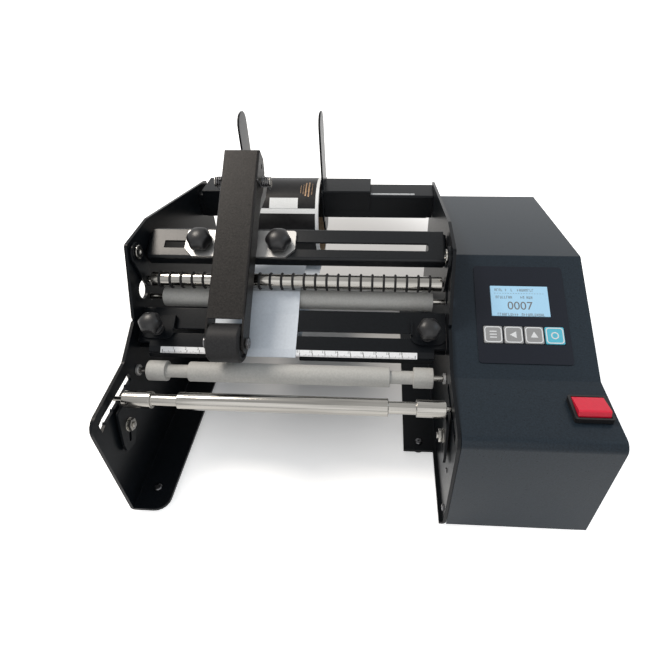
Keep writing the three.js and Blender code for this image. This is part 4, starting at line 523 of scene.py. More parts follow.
class APPLICATOR_OT_stage(ApplicatorOperator, bpy.types.Operator):
    """Makes the floor, the soft light and the photograph's camera"""

    bl_idname = "applicator.stage"
    bl_label = "Stage"

    def execute(self, context):
        scene = context.scene
        self.make_camera(scene)
        self.make_floor(scene, tuple(scene.applicator_colours.floor))
        self.make_world(scene)
        self.make_lamps(scene)
        scene.view_settings.view_transform = "Standard"
        return {"FINISHED"}

    def make_camera(self, scene):
        data = bpy.data.cameras.new("photo_camera")
        data.sensor_width = SENSOR_WIDTH
        data.lens = FOCAL_PIXELS * SENSOR_WIDTH / PHOTO_PIXELS
        data.shift_x = -(CENTRE_PIXEL[0] - PHOTO_PIXELS / 2) / PHOTO_PIXELS
        data.shift_y = (CENTRE_PIXEL[1] - PHOTO_PIXELS / 2) / PHOTO_PIXELS
        data.clip_start = CLIP_START
        right, up, forward = camera_axes()
        camera = bpy.data.objects.new("photo_camera", data)
        camera.matrix_world = Matrix((right, up, -forward)).transposed().to_4x4()
        camera.location = at(*CAMERA_PLACE)
        scene.collection.objects.link(camera)
        scene.camera = camera

    def make_floor(self, scene, colour):
        work = bmesh.new()
        signs = ((-1, -1), (1, -1), (1, 1), (-1, 1))
        work.faces.new([work.verts.new((x * FLOOR_REACH, y * FLOOR_REACH, 0)) for x, y in signs])
        mesh = finished(work)
        floor = bpy.data.objects.new("floor", mesh)
        scene.collection.objects.link(floor)
        material, shader = mottled(
            "pale_floor", colour, shaded(colour, 0.985), colour, 0.8, (0.75, 0.85), 6, 0.0, specular=0.1,
        )
        self.white_to_camera(material.node_tree, shader, colour)
        mesh.materials.append(material)

    def white_to_camera(self, tree, shader, colour):
        """Whitens the floor for camera, glossy and transmission rays, but not behind the object, and darkens
        the floor's colour there in a soft patch of painted shade.
        """
        coords = tree.nodes.new("ShaderNodeTexCoord")
        painted_shade_spot = tree.nodes.new("ShaderNodeMapping")
        painted_shade_spot.vector_type = "TEXTURE"
        painted_shade_spot.inputs["Location"].default_value = PAINTED_SHADE_PLACE
        painted_shade_spot.inputs["Scale"].default_value = PAINTED_SHADE_STRETCH
        distance = tree.nodes.new("ShaderNodeVectorMath")
        distance.operation = "LENGTH"
        glow = add_node(tree, "MapRange", From_Min=GLOW_REACH[0], From_Max=GLOW_REACH[1],
                        To_Min=0.0, To_Max=GLOW_LEVEL)
        glow.interpolation_type = "SMOOTHSTEP"
        # Painted shade: the floor's colour darkens towards the middle of the patch behind the object.
        painted_shade_ramp = add_ramp(tree, (tuple(c * PAINTED_SHADE_SHARE for c in colour), colour), PAINTED_SHADE_REACH)
        painted_shade_ramp.color_ramp.interpolation = "EASE"
        seen = tree.nodes.new("ShaderNodeMath")
        seen.operation = "MULTIPLY"
        shader.inputs["Emission Color"].default_value = (1, 1, 1, 1)
        for out, into in (
            (coords.outputs["Object"], painted_shade_spot.inputs["Vector"]),
            (painted_shade_spot.outputs["Vector"], distance.inputs[0]),
            (distance.outputs["Value"], painted_shade_ramp.inputs["Fac"]),
            (painted_shade_ramp.outputs["Color"], shader.inputs["Base Color"]),
            (distance.outputs["Value"], glow.inputs["Value"]),
            (glow.outputs["Result"], seen.inputs[0]),
            (rays_that_see(tree), seen.inputs[1]),
            (seen.outputs[0], shader.inputs["Emission Strength"]),
        ):
            tree.links.new(out, into)

    def make_world(self, scene):
        world = bpy.data.worlds.new("studio")
        world.use_nodes = True
        tree = world.node_tree
        background = tree.nodes["Background"]
        background.inputs["Color"].default_value = (1, 1, 1, 1)
        level = add_node(tree, "MapRange", To_Min=WORLD_LIGHT, To_Max=WORLD_SEEN)
        tree.links.new(rays_that_see(tree), level.inputs["Value"])
        tree.links.new(level.outputs["Result"], background.inputs["Strength"])
        scene.world = world

    def make_lamps(self, scene):
        for name, place, size, power, tint in LAMPS:
            data = bpy.data.lights.new(name, "AREA")
            data.shape = "SQUARE"
            data.size = size
            data.energy = power
            data.color = tint
            lamp = bpy.data.objects.new(name, data)
            scene.collection.objects.link(lamp)
            lamp.location = place
            aim = LAMP_TARGET - Vector(place)
            lamp.rotation_euler = aim.to_track_quat("-Z", "Y").to_euler()


def soften_nodes(nodes, body, slot, width, finish=None, **options):
    """Replaces carried-over solids by copies with rounded edges."""
    for node in nodes:
        stand_in(node, softened(node, width / MM, **options), body, slot, finish)


# Lengths that several pieces share, in millimetres
GAP, TOUCH = 0.3, 0.1
HAIR_ROUND, FINE_ROUND, SOFT_ROUND, BROAD_ROUND = 0.2, 0.3, 0.4, 0.5
PLATE_INNER, PLATE_OUTER = 122.5, 125.0
SHAFT_END = PLATE_OUTER - GAP
LEFT_FEET_X, RIGHT_FEET_X = -109.0, 217.0
FRONT_FEET_Y, REAR_FEET_Y = 19.4, 290.0
MIDDLE_FOOT = (107.5, 76.0)

# Side plates
SLOT_BOTTOM, SLOT_SHOULDER, SLOT_CROWN = 93.0, 97.0, 2.5
SLOT_FRONT, SLOT_REAR = 8.5, 60.0
SLOT_ROOF_RISE, SLOT_FRONT_SAG = 1.0, 1.4
LINK_FACE = 119.1
LINK_BOLT = (32.0, 73.0)
FLANGE_TOP, FOOT_SCREW, SCREW_SINK = 8.0, 3.5, 0.05
PLATE_SCREWS = (
    ("left_foot_screw", (LEFT_FEET_X, FRONT_FEET_Y, FLANGE_TOP), (0, 0, 1), FOOT_SCREW),
    ("left_rear_foot_screw", (LEFT_FEET_X, REAR_FEET_Y, FLANGE_TOP), (0, 0, 1), FOOT_SCREW),
    ("middle_foot_screw", (*MIDDLE_FOOT, FLANGE_TOP), (0, 0, 1), FOOT_SCREW),
    ("plate_screw", (PLATE_INNER, 18.0, 50.0), (-1, 0, 0), 2.0),
    ("plate_plug", (PLATE_INNER, 6.0, 19.0), (-1, 0, 0), 2.9),
)


def toothed_slit(point):
    """Opens the plates' toothed slot upwards and lets its front end dip."""
    x, y, z = point
    if SLOT_FRONT - GAP < y < SLOT_REAR + GAP and abs(x) > PLATE_INNER - GAP:
        if abs(z - SLOT_BOTTOM) < TOUCH and y < SLOT_FRONT + GAP:
            z -= SLOT_FRONT_SAG
        elif SLOT_SHOULDER < z < SLOT_SHOULDER + SLOT_CROWN:
            z += SLOT_ROOF_RISE
    return x, y, z


def closed(profile):
    """A profile that ends where it starts, for a bored piece."""
    return profile + [profile[0]]


def plain_shaft(place, low, high, radius, ease=SOFT_ROUND, sides=56):
    """A solid round shaft between two stations, with small rounds at its ends."""
    return turned(eased([(low, 0), (low, radius), (high, radius), (high, 0)], ease), place, sides)


def screw_head(place, normal, radius):
    """A pan head with a cross recess, standing on a face."""
    turn = normal.normalized().to_track_quat("Z", "Y").to_matrix().to_4x4()
    matrix = Matrix.Translation(place) @ turn @ Matrix.Scale(MM, 4)
    height = radius * 0.5
    rim = [(SCREW_SINK, 0), (SCREW_SINK, radius), (height, radius * 0.82), (height, radius * 0.34)]
    low = height * 0.45
    return turned(eased(rim, radius * 0.25) + [(low, radius * 0.26), (low, 0)], matrix, 32)


class APPLICATOR_OT_side_plates(ApplicatorOperator, bpy.types.Operator):
    """Makes the two folded side plates and the plates bolted inside them"""

    bl_idname = "applicator.side_plates"
    bl_label = "Side plates"

    def execute(self, context):
        width = context.scene.applicator_sizes.edge_round
        soften_nodes(("left_side_plate", "right_side_plate"), "frame", "black_paint", width,
                     warp=toothed_slit)
        soften_nodes(("left_link_plate", "right_link_plate"), "frame", "black_paint", width)
        for name, place, normal, radius in PLATE_SCREWS:
            mesh = screw_head(at(*place), Vector(normal), radius)
            new_piece(name, mesh, "frame", "polished_steel", "dark_steel")
        for name, side in (("left_link_nut", -1), ("right_link_nut", 1)):
            self.link_nut(name, side)
        return {"FINISHED"}

    def link_nut(self, name, side):
        """A hexagon nut over the link plate's bolt, with its washer and the end of the screw."""
        washer, across, thread = 5.4, 4.9, 2.3
        washer_rise, nut_rise, screw_rise = 0.8, 3.9, 5.2
        face, nut_top, screw_top = LINK_FACE - washer_rise, LINK_FACE - nut_rise, LINK_FACE - screw_rise
        ring = eased([(LINK_FACE, 0), (LINK_FACE, washer), (face, washer), (face, 0)], HAIR_ROUND)
        end = eased([(face, 0), (face, thread), (screw_top, thread), (screw_top, 0)], BROAD_ROUND)
        nut = eased([(face, thread), (face, across), (nut_top, across), (nut_top, thread)], BROAD_ROUND, 2)
        for part, profile, sides in (("washer", ring, 48), ("screw", end, 32), ("nut", closed(nut), 6)):
            mesh = turned([(side * x, r) for x, r in profile], axle_matrix(*LINK_BOLT), sides)
            new_piece(f"{name}_{part}", mesh, "frame", "polished_steel")


# Rollers: places in Y and Z, half lengths from the end inwards and radii
PULLEY_LEFT, PULLEY_RIGHT = 135.5, 144.5
PULLEY_RIM, PULLEY_FACE, PULLEY_FLANGE = 11.0, 9.0, 1.2
DRIVE_PLACE = (71.5, 92.3)
DRIVE_ENDS = (112.2, 97.2, 79.0)
DRIVE_RADII = (8.1, 5.2, 7.9)
DRIVE_SHAFT = 2.3
BEARING_RADIUS, BEARING_WIDTH = 4.4, 2.0
RACE_WIDTH, RACE_STEP, RACE_GROOVE = 0.6, 0.2, 0.35
IDLER_PLACE = (36.0, 96.9)
IDLER_SHIFT = 1.2
IDLER_ENDS = (117.5, 96.5, 76.5)
IDLER_RADII = (6.3, 4.6, 6.5)
IDLER_PIN = 2.0
NIP_PLACE = (127.5, 124.8)
NIP_LEFT, NIP_RIGHT = 109.8, 112.7
NIP_RADIUS, NIP_SHAFT = 9.3, 2.2
NIP_SLIMMING = 1.2


def necked_roller(place, ends, radii, bore, edge):
    """A bored roller whose collars at both ends are parted from its long body by a neck."""
    (end, collar_end, body_end), (collar, neck, body) = ends, radii
    half = [
        (end, bore), (end, collar), (collar_end, collar),
        (collar_end, neck), (body_end, neck), (body_end, body),
    ]
    profile = [(-x, r) for x, r in half] + list(reversed(half))
    return turned(closed(eased(profile, edge)), place)


class APPLICATOR_OT_rollers(ApplicatorOperator, bpy.types.Operator):
    """Makes the drive, idler and nip rollers with their shafts, bearings and pulleys"""

    bl_idname = "applicator.rollers"
    bl_label = "Rollers"

    def execute(self, context):
        edge = context.scene.applicator_sizes.roller_edge / MM
        self.drive(edge)
        self.idler(edge)
        self.nip(edge)
        self.pulleys()
        return {"FINISHED"}

    def drive(self, edge):
        place = axle_matrix(*DRIVE_PLACE)
        bore = DRIVE_SHAFT + GAP
        mesh = necked_roller(place, DRIVE_ENDS, DRIVE_RADII, bore, edge)
        stand_in("drive_roller", mesh, "drive", "gray_rubber")
        mesh = plain_shaft(place, -SHAFT_END, PULLEY_RIGHT, DRIVE_SHAFT)
        stand_in("drive_shaft", mesh, "drive", "polished_steel")
        outer = PLATE_INNER - GAP
        inner, race = outer - BEARING_WIDTH, BEARING_RADIUS - RACE_WIDTH
        floor = inner + RACE_GROOVE
        for name, side in (("left_drive_bearing", -1), ("right_drive_bearing", 1)):
            rings = eased([(side * x, r) for x, r in (
                (inner, bore), (inner, bore + RACE_WIDTH), (floor, bore + RACE_WIDTH + RACE_STEP),
                (floor, race - RACE_STEP), (inner, race), (inner, BEARING_RADIUS), (outer, BEARING_RADIUS),
                (outer, bore), (inner, bore),
            )], HAIR_ROUND)
            stand_in(name, turned(rings, place, 64), "frame", "zinc")

    def idler(self, edge):
        place = axle_matrix(*IDLER_PLACE, IDLER_SHIFT)
        mesh = necked_roller(place, IDLER_ENDS, IDLER_RADII, IDLER_PIN + GAP, edge)
        stand_in("idler_roller", mesh, "idler_roller", "polished_steel")
        mesh = plain_shaft(axle_matrix(*IDLER_PLACE), -SHAFT_END, SHAFT_END, IDLER_PIN)
        new_piece("idler_pin_fine", mesh, "idler_pin", "polished_steel", stands_for=("idler_shaft",))

    def nip(self, edge):
        place = axle_matrix(*NIP_PLACE)
        skin = NIP_RADIUS - NIP_SLIMMING
        body = eased([
            (-NIP_LEFT, NIP_SHAFT), (-NIP_LEFT, skin), (NIP_RIGHT, skin), (NIP_RIGHT, NIP_SHAFT),
        ], edge)
        stand_in("nip_roller", turned(closed(body), place), "nip", "gray_rubber")
        for name, low, high in (
            ("nip_shaft_left", -SHAFT_END, -NIP_LEFT),
            ("nip_shaft_right", NIP_RIGHT, PULLEY_RIGHT),
        ):
            new_piece(name, plain_shaft(place, low, high, NIP_SHAFT), "nip", "polished_steel")

    def pulleys(self):
        left, right = PULLEY_LEFT + PULLEY_FLANGE, PULLEY_RIGHT - PULLEY_FLANGE
        for name, centre, shaft, body in (
            ("drive_pulley", DRIVE_PLACE, DRIVE_SHAFT, "drive"),
            ("nip_pulley", NIP_PLACE, NIP_SHAFT, "nip"),
        ):
            bore = shaft + GAP
            rings = [
                (PULLEY_LEFT, bore), (PULLEY_LEFT, PULLEY_RIM), (left, PULLEY_RIM), (left, PULLEY_FACE),
                (right, PULLEY_FACE), (right, PULLEY_RIM), (PULLEY_RIGHT, PULLEY_RIM), (PULLEY_RIGHT, bore),
            ]
            mesh = turned(closed(eased(rings, FINE_ROUND)), axle_matrix(*centre), 64)
            stand_in(name, mesh, body, "black_plastic")


# Pressure roller and levers
RING_RADIUS, ROD_RADIUS, ROD_STUB = 7.1, 5.9, 2.5
RING_COUNT, RING_PITCH = 25, 9.1
RING_AROUND, RING_SECTION = 56, 14
ROD_LEFT, ROD_RIGHT, ROD_END = -116.2, 118.6, 119.6
WEB_THICKNESS = 0.3
PRESSURE_PLACE = (NIP_PLACE[0], NIP_PLACE[1] + NIP_RADIUS + GAP + WEB_THICKNESS + GAP + RING_RADIUS)
LEVER_PIVOT = (125.0, 169.0)


class APPLICATOR_OT_pressure_unit(ApplicatorOperator, bpy.types.Operator):
    """Makes the ringed pressure roller, its two levers and their pivot screws"""

    bl_idname = "applicator.pressure_unit"
    bl_label = "Pressure roller"

    def execute(self, context):
        sizes = context.scene.applicator_sizes
        place = axle_matrix(*PRESSURE_PLACE)
        rod = eased([
            (-ROD_END, 0), (-ROD_END, ROD_STUB), (ROD_LEFT, ROD_STUB), (ROD_LEFT, ROD_RADIUS),
            (ROD_RIGHT, ROD_RADIUS), (ROD_RIGHT, ROD_STUB), (ROD_END, ROD_STUB), (ROD_END, 0),
        ], SOFT_ROUND)
        new_piece("pressure_rod", turned(rod, place, 72), "pressure_roller", "polished_steel")
        work = bmesh.new()
        for k in range(RING_COUNT):
            self.ring(work, place, (k - (RING_COUNT - 1) / 2) * RING_PITCH, sizes.ring_thickness / MM / 2)
        new_piece("pressure_rings", finished(work), "pressure_roller", "black_rubber",
                  stands_for=("pressure_roller",))
        soften_nodes(("left_pressure_lever", "right_pressure_lever"), "pressure_levers", "black_paint",
                     sizes.edge_round)
        for name, side in (("left_lever_screw", -1), ("right_lever_screw", 1)):
            self.pivot_screw(name, side)
        return {"FINISHED"}

    def ring(self, work, place, x, thick):
        """One rubber ring of round section, which grips the rod."""
        grid = []
        for i in range(RING_AROUND):
            a = math.tau * i / RING_AROUND
            row = []
            for j in range(RING_SECTION):
                b = math.tau * j / RING_SECTION
                radius = RING_RADIUS - thick + thick * math.cos(b)
                spot = Vector((radius * math.cos(a), radius * math.sin(a), x + thick * math.sin(b)))
                row.append(work.verts.new(place @ spot))
            grid.append(row)
        for i in range(RING_AROUND):
            for j in range(RING_SECTION):
                m, n = (i + 1) % RING_AROUND, (j + 1) % RING_SECTION
                work.faces.new((grid[i][j], grid[m][j], grid[m][n], grid[i][n]))

    def pivot_screw(self, name, side):
        shank, head, seat, top = 3.0, 5.5, 119.9, 118.3
        rim, crown, socket, socket_floor, socket_depth = 0.4, 0.9, 1.9, 1.6, 1.0
        points = [(side * x, r) for x, r in (
            (PLATE_OUTER, 0), (PLATE_OUTER, shank), (seat, shank), (seat, head), (top + rim, head),
            (top, head - crown), (top, socket), (top + socket_depth, socket_floor), (top + socket_depth, 0),
        )]
        mesh = turned(eased(points, FINE_ROUND), axle_matrix(*LEVER_PIVOT), 48)
        stand_in(name, mesh, "frame", "polished_steel")


# Slotted rail and peel plate
RAIL_PLACE, RAIL_SLOPE = (146.0, 164.5), 25.0
RAIL_SLOT_END = 107.5
RAIL_UPPER_GROWTH = 4.2
RAIL_SLOT_WIDTH, RAIL_SLOT_GROWTH = 6.1, 1.2
RAIL_RELIEF, RAIL_RELIEF_CLOSED = 117.2, 119.8
DECK_PLACE, DECK_REAR = (83.5, 108.0), (113.0, 125.0)
DECK_SLOPE = math.degrees(math.atan2(DECK_REAR[1] - DECK_PLACE[1], DECK_REAR[0] - DECK_PLACE[0]))
NOSE_TIP = (79.0, 104.0)
NOSE_LIP_LEFT, NOSE_LIP_RIGHT = (-112.4, -67.0), (8.0, 112.4)
NOSE_LIP_PLACE, NOSE_LIP_HEIGHT, NOSE_LIP_SHEET = (79.9, 103.9), 3.6, 0.9


def broader_rail(point):
    """Moves the rail's upper fold further up the slope and opens its slot to a square-ended one."""
    a = math.radians(RAIL_SLOPE)
    y, z = point.y - RAIL_PLACE[0], point.z - RAIL_PLACE[1]
    along, off = y * math.cos(a) + z * math.sin(a), z * math.cos(a) - y * math.sin(a)
    half = RAIL_SLOT_WIDTH / 2
    x = point.x
    if abs(abs(x) - RAIL_RELIEF) < GAP:
        x = math.copysign(RAIL_RELIEF_CLOSED, x)
    if along > 2 * half:
        along += RAIL_UPPER_GROWTH
    elif abs(along) < half + GAP:
        end = abs(x) - (RAIL_SLOT_END - half)
        if end > 0 and abs(x) < RAIL_SLOT_END + GAP:
            stretch = half / max(abs(end), abs(along))
            x = math.copysign(RAIL_SLOT_END - half + end * stretch, x)
            along *= stretch
        along *= RAIL_SLOT_GROWTH
    return (
        x,
        RAIL_PLACE[0] + along * math.cos(a) - off * math.sin(a),
        RAIL_PLACE[1] + along * math.sin(a) + off * math.cos(a),
    )


class APPLICATOR_OT_rail(ApplicatorOperator, bpy.types.Operator):
    """Makes the slotted cross rail"""

    bl_idname = "applicator.rail"
    bl_label = "Slotted rail"

    def execute(self, context):
        width = context.scene.applicator_sizes.edge_round
        soften_nodes(("slotted_rail",), "frame", "black_paint", width, "rail_paint", warp=broader_rail)
        return {"FINISHED"}


class APPLICATOR_OT_peel_plate(ApplicatorOperator, bpy.types.Operator):
    """Makes the peel plate and the lip below its nose"""

    bl_idname = "applicator.peel_plate"
    bl_label = "Peel plate"

    def execute(self, context):
        soften_nodes(("peel_plate",), "frame", "black_paint", context.scene.applicator_sizes.edge_round * 0.8)
        work = bmesh.new()
        for x0, x1 in (NOSE_LIP_LEFT, NOSE_LIP_RIGHT):
            outline = rounded_rectangle(x0, x1, -NOSE_LIP_HEIGHT, 0, BROAD_ROUND, 4)
            slab(work, outline, 0, NOSE_LIP_SHEET, slope_matrix(*NOSE_LIP_PLACE, 90))
        new_piece("nose_lip", finished(work), "frame", "black_paint")
        return {"FINISHED"}


# Grips of the clamp knobs: the outline in shares of height and radius
GRIP_OUTLINE = (
    (0.0, 0.86), (0.05, 0.92), (0.13, 0.97), (0.24, 1.0), (0.36, 1.0), (0.5, 0.97),
    (0.62, 0.915), (0.73, 0.83), (0.83, 0.7), (0.91, 0.53), (0.965, 0.34), (0.99, 0.17),
)
GRIP_AROUND, GRIP_HOLLOW = 144, 0.12
SCALLOPS, SCALLOP_DEPTH, SCALLOP_TOP = 6, 0.16, 0.85


def scalloped_grip(work, matrix, low, high, radius):
    """Adds a domed grip: six scallops cut its lower rim and run out below the dome."""
    rings = []
    for share, width in GRIP_OUTLINE:
        fade = max(0.0, 1 - share / SCALLOP_TOP) ** 0.6
        z = low + (high - low) * share
        ring = []
        for k in range(GRIP_AROUND):
            a = math.tau * k / GRIP_AROUND
            cut = SCALLOP_DEPTH * fade * (0.5 - 0.5 * math.cos(SCALLOPS * a)) ** 0.8
            r = radius * (width - cut)
            ring.append(work.verts.new(matrix @ Vector((r * math.cos(a), r * math.sin(a), z))))
        rings.append(ring)
    for below, above in zip(rings, rings[1:]):
        for k in range(GRIP_AROUND):
            n = (k + 1) % GRIP_AROUND
            work.faces.new((below[k], below[n], above[n], above[k]))
    tip = work.verts.new(matrix @ Vector((0, 0, high)))
    base = work.verts.new(matrix @ Vector((0, 0, low + (high - low) * GRIP_HOLLOW)))
    for k in range(GRIP_AROUND):
        n = (k + 1) % GRIP_AROUND
        work.faces.new((rings[-1][k], rings[-1][n], tip))
        work.faces.new((rings[0][n], rings[0][k], base))


# Web guides
DECK_SLOT = 13.3
GUIDE_KNOB_X = 107.5
GUIDE_SEAT, GUIDE_HEAD, GUIDE_TOP, GUIDE_GRIP = 2.2, 12.6, 22.6, 9.3
NECK_FOOT, NECK_FOOT_RISE, NECK_SUNK = 5.4, 1.2, 1.4
RIB_PITCH, RIB_CREST, RIB_ROOT = 2.3, 4.9, 3.9
RIB_STATIONS = (0.35, 0.8, 1.2, RIB_PITCH - 0.4)
GUIDE_NUT_LOW, GUIDE_NUT_TOP, GUIDE_THREAD, GUIDE_NUT = -4.3, -1.9, 1.7, 3.6


class APPLICATOR_OT_web_guides(ApplicatorOperator, bpy.types.Operator):
    """Makes the two web guides and their clamp knobs"""

    bl_idname = "applicator.web_guides"
    bl_label = "Web guides"

    def execute(self, context):
        width = context.scene.applicator_sizes.edge_round * 0.8
        for side in ("left", "right"):
            soften_nodes((side + "_web_guide",), side + "_web_guide", "black_paint", width)
        for side, x in (("left", -GUIDE_KNOB_X), ("right", GUIDE_KNOB_X)):
            self.knob(side + "_guide_knob", x)
        return {"FINISHED"}

    def knob(self, node, x):
        """A domed grip with scalloped sides on a ribbed neck, and its screw and nut under the plate."""
        matrix = slope_matrix(*DECK_PLACE, DECK_SLOPE, x) @ Matrix.Translation((0, DECK_SLOT, 0))
        work = bmesh.new()
        scalloped_grip(work, matrix, GUIDE_HEAD, GUIDE_TOP, GUIDE_GRIP)
        z = GUIDE_SEAT + NECK_FOOT_RISE
        ribs = [(GUIDE_SEAT, 0), (GUIDE_SEAT, NECK_FOOT), (z, NECK_FOOT)]
        while z + RIB_PITCH < GUIDE_HEAD:
            ribs += [(z + s, r) for s, r in zip(RIB_STATIONS, (RIB_ROOT, RIB_ROOT, RIB_CREST, RIB_CREST))]
            z += RIB_PITCH
        ribs += [(GUIDE_HEAD + NECK_SUNK, RIB_ROOT), (GUIDE_HEAD + NECK_SUNK, 0)]
        neck = turned(eased(ribs, FINE_ROUND, 3), matrix, 48)
        work.from_mesh(neck)
        bpy.data.meshes.remove(neck)
        stand_in(node, finished(work), node, "black_plastic", smooth_angle=GRIP_ANGLE)
        screw = plain_shaft(matrix, GUIDE_NUT_LOW, GUIDE_SEAT, GUIDE_THREAD, FINE_ROUND, 32)
        new_piece(node + "_screw", screw, node, "polished_steel")
        nut = turned(hexagon(GUIDE_NUT_TOP, GUIDE_NUT_LOW, GUIDE_THREAD, GUIDE_NUT), matrix, 6)
        new_piece(node + "_nut", nut, node, "polished_steel")


def hexagon(top, low, thread, across):
    """The profile of a plain nut that is turned with six sides."""
    return closed([(top, thread), (top, across), (low, across), (low, thread)])


# Print: numerals and marks as thin raised meshes
def numerals(work, text, size, matrix, lift):
    """Adds the outline of plain numerals, a little thick, to a bmesh."""
    curve = bpy.data.curves.new("numerals", "FONT")
    curve.body = text
    curve.size = size
    curve.align_x = "CENTER"
    curve.align_y = "CENTER"
    curve.extrude = lift / 2
    holder = bpy.data.objects.new("numerals", curve)
    bpy.context.scene.collection.objects.link(holder)
    bpy.context.view_layer.update()
    mesh = bpy.data.meshes.new_from_object(holder.evaluated_get(bpy.context.evaluated_depsgraph_get()))
    mesh.transform(matrix)
    work.from_mesh(mesh)
    bpy.data.meshes.remove(mesh)
    bpy.data.objects.remove(holder)
    bpy.data.curves.remove(curve)


def mark(work, x0, x1, y0, y1, matrix, lift):
    """Adds one small printed bar."""
    slab(work, [(x0, y0), (x1, y0), (x1, y1), (x0, y1)], 0, lift, matrix)


def frame_outline(work, half, radius, width, matrix, lift):
    """A thin rounded square border, drawn as a closed band."""
    inside = half - width
    outer = rounded_rectangle(-half, half, -half, half, radius)
    inner = rounded_rectangle(-inside, inside, -inside, inside, max(radius - width, TOUCH))
    rows = [
        [work.verts.new(matrix @ Vector((x, y, level))) for x, y in outline]
        for level in (0, lift) for outline in (outer, inner)
    ]
    for k in range(len(outer)):
        m = (k + 1) % len(outer)
        work.faces.new((rows[2][k], rows[2][m], rows[3][m], rows[3][k]))
        work.faces.new((rows[0][k], rows[0][m], rows[2][m], rows[2][k]))
        work.faces.new((rows[1][m], rows[1][k], rows[3][k], rows[3][m]))
        work.faces.new((rows[0][m], rows[0][k], rows[1][k], rows[1][m]))


# Scales: one on the peel plate's nose, a short one on the roll bar
NOSE_SLOPE = math.degrees(math.atan2(DECK_PLACE[1] - NOSE_TIP[1], DECK_PLACE[0] - NOSE_TIP[0]))
NOSE_LENGTH = math.dist(DECK_PLACE, NOSE_TIP)
SCALE_HALF, SCALE_SHIFT, SCALE_MARGIN = 100.0, -1.7, 1.5
SCALE_LOW, SCALE_HIGH, SCALE_SHEET, SCALE_LIFT = 0.55, NOSE_LENGTH - 0.35, 0.12, 0.05
SCALE_REACHES, SCALE_MARK_FOOT = (2.7, 1.9, 1.15), 0.1
SCALE_FIGURE, SCALE_FIGURE_SIDE, SCALE_FIGURE_DROP = 2.9, 1.2, 1.35
BAR_FRONT, BAR_TOP, BAR_HALF = 276.0, 149.0, 15.5
BAR_STRIP, BAR_SHEET, BAR_LIFT = (58.3, 103.0, 2.8, 6.4), 0.1, 0.03
BAR_SCALE_START, BAR_SCALE_LOW, BAR_REACHES = 59.0, 2.9, (2.2, 1.5, 0.9)
BAR_FIGURE, BAR_FIGURE_SIDE, BAR_FIGURE_PLACE = 1.7, 1.1, 5.3


def reach_of(k, reaches):
    """The length of the scale's mark k: tens are longest, then fives."""
    return reaches[0] if k % 10 == 0 else reaches[1] if k % 5 == 0 else reaches[2]


class APPLICATOR_OT_scales(ApplicatorOperator, bpy.types.Operator):
    """Prints the white scales on the peel plate's nose and on the roll bar"""

    bl_idname = "applicator.scales"
    bl_label = "Scales"

    def execute(self, context):
        sizes = context.scene.applicator_sizes
        lift, width = sizes.print_lift / MM, sizes.mark_width / MM
        self.nose_scale(lift, width)
        self.bar_scale(lift, width)
        return {"FINISHED"}

    def nose_scale(self, lift, width):
        """The long scale, numbered in centimetres."""
        nose = slope_matrix(*NOSE_TIP, NOSE_SLOPE, SCALE_SHIFT) @ Matrix.Translation((0, 0, SCALE_LIFT))
        end = SCALE_HALF + SCALE_MARGIN
        work = bmesh.new()
        slab(work, rounded_rectangle(-end, end, SCALE_LOW, SCALE_HIGH, SOFT_ROUND, 3), 0, SCALE_SHEET, nose)
        new_piece("nose_scale_strip", finished(work), "frame", "black_paint", "white_print")
        work = bmesh.new()
        face = nose @ Matrix.Translation((0, 0, SCALE_SHEET))
        foot = SCALE_LOW + SCALE_MARK_FOOT
        for k in range(201):
            x = k - SCALE_HALF
            half = width * (1.7 if k % 10 == 0 else 0.9) / 2
            mark(work, x - half, x + half, foot, foot + reach_of(k, SCALE_REACHES), face, lift)
        for k in range(1, 20):
            spot = (k * 10 - SCALE_HALF - SCALE_FIGURE_SIDE, SCALE_HIGH - SCALE_FIGURE_DROP, lift / 2)
            numerals(work, str(k), SCALE_FIGURE, face @ Matrix.Translation(spot), lift)
        new_piece("nose_scale_marks", finished(work), "frame", "black_paint", "dark_print")

    def bar_scale(self, lift, width):
        """The short scale along the roll bar's front top edge, beside the right roll guide."""
        top = slope_matrix(BAR_FRONT, BAR_TOP, 0) @ Matrix.Translation((0, 0, BAR_LIFT))
        work = bmesh.new()
        slab(work, rounded_rectangle(*BAR_STRIP, FINE_ROUND, 3), 0, BAR_SHEET, top)
        new_piece("bar_scale_strip", finished(work), "frame", "black_paint", "gray_print")
        work = bmesh.new()
        face = top @ Matrix.Translation((0, 0, BAR_SHEET))
        for k in range(44):
            x = BAR_SCALE_START + k
            end = BAR_SCALE_LOW + reach_of(k, BAR_REACHES)
            mark(work, x - width * 0.4, x + width * 0.4, BAR_SCALE_LOW, end, face, lift)
        for k in range(1, 5):
            spot = (BAR_SCALE_START + k * 10 - BAR_FIGURE_SIDE, BAR_FIGURE_PLACE, lift / 2)
            numerals(work, str(k), BAR_FIGURE, face @ Matrix.Translation(spot), lift)
        new_piece("bar_scale_marks", finished(work), "frame", "black_paint", "dark_print")


# Pressing arm on its bracket
ARM_X = -44.0
ARM_HALF = 14.5
ARM_REAR, ARM_FRONT = (192.0, 225.7), (78.5, 141.3)
ARM_LIFT = 60
ARM_EDGE = 0.05
EAR_INNER, EAR_OUTER, EAR_INSET = 15.3, 17.1, 4.7
EAR_REACH = 9.6
RAIL_KNOB_OFFSET = 32.0
RAIL_KNOB_SEAT, RAIL_KNOB_RIM, RAIL_KNOB_TOP, RAIL_KNOB_GRIP = 2.6, 3.4, 14.8, 10.5
RAIL_COLLAR, RAIL_COLLAR_SLANT, RAIL_COLLAR_RISE = 7.6, 0.6, 0.8
RAIL_STEM, RAIL_NUT, RAIL_NUT_LOW, RAIL_NUT_HIGH = 2.7, 5.0, -5.3, -2.3
SPRING_CURLS, SPRING_PITCH, SPRING_STEPS, SPRING_SIDES = 4, 1.5, 32, 14
SPRING_START = 0.62 * math.tau
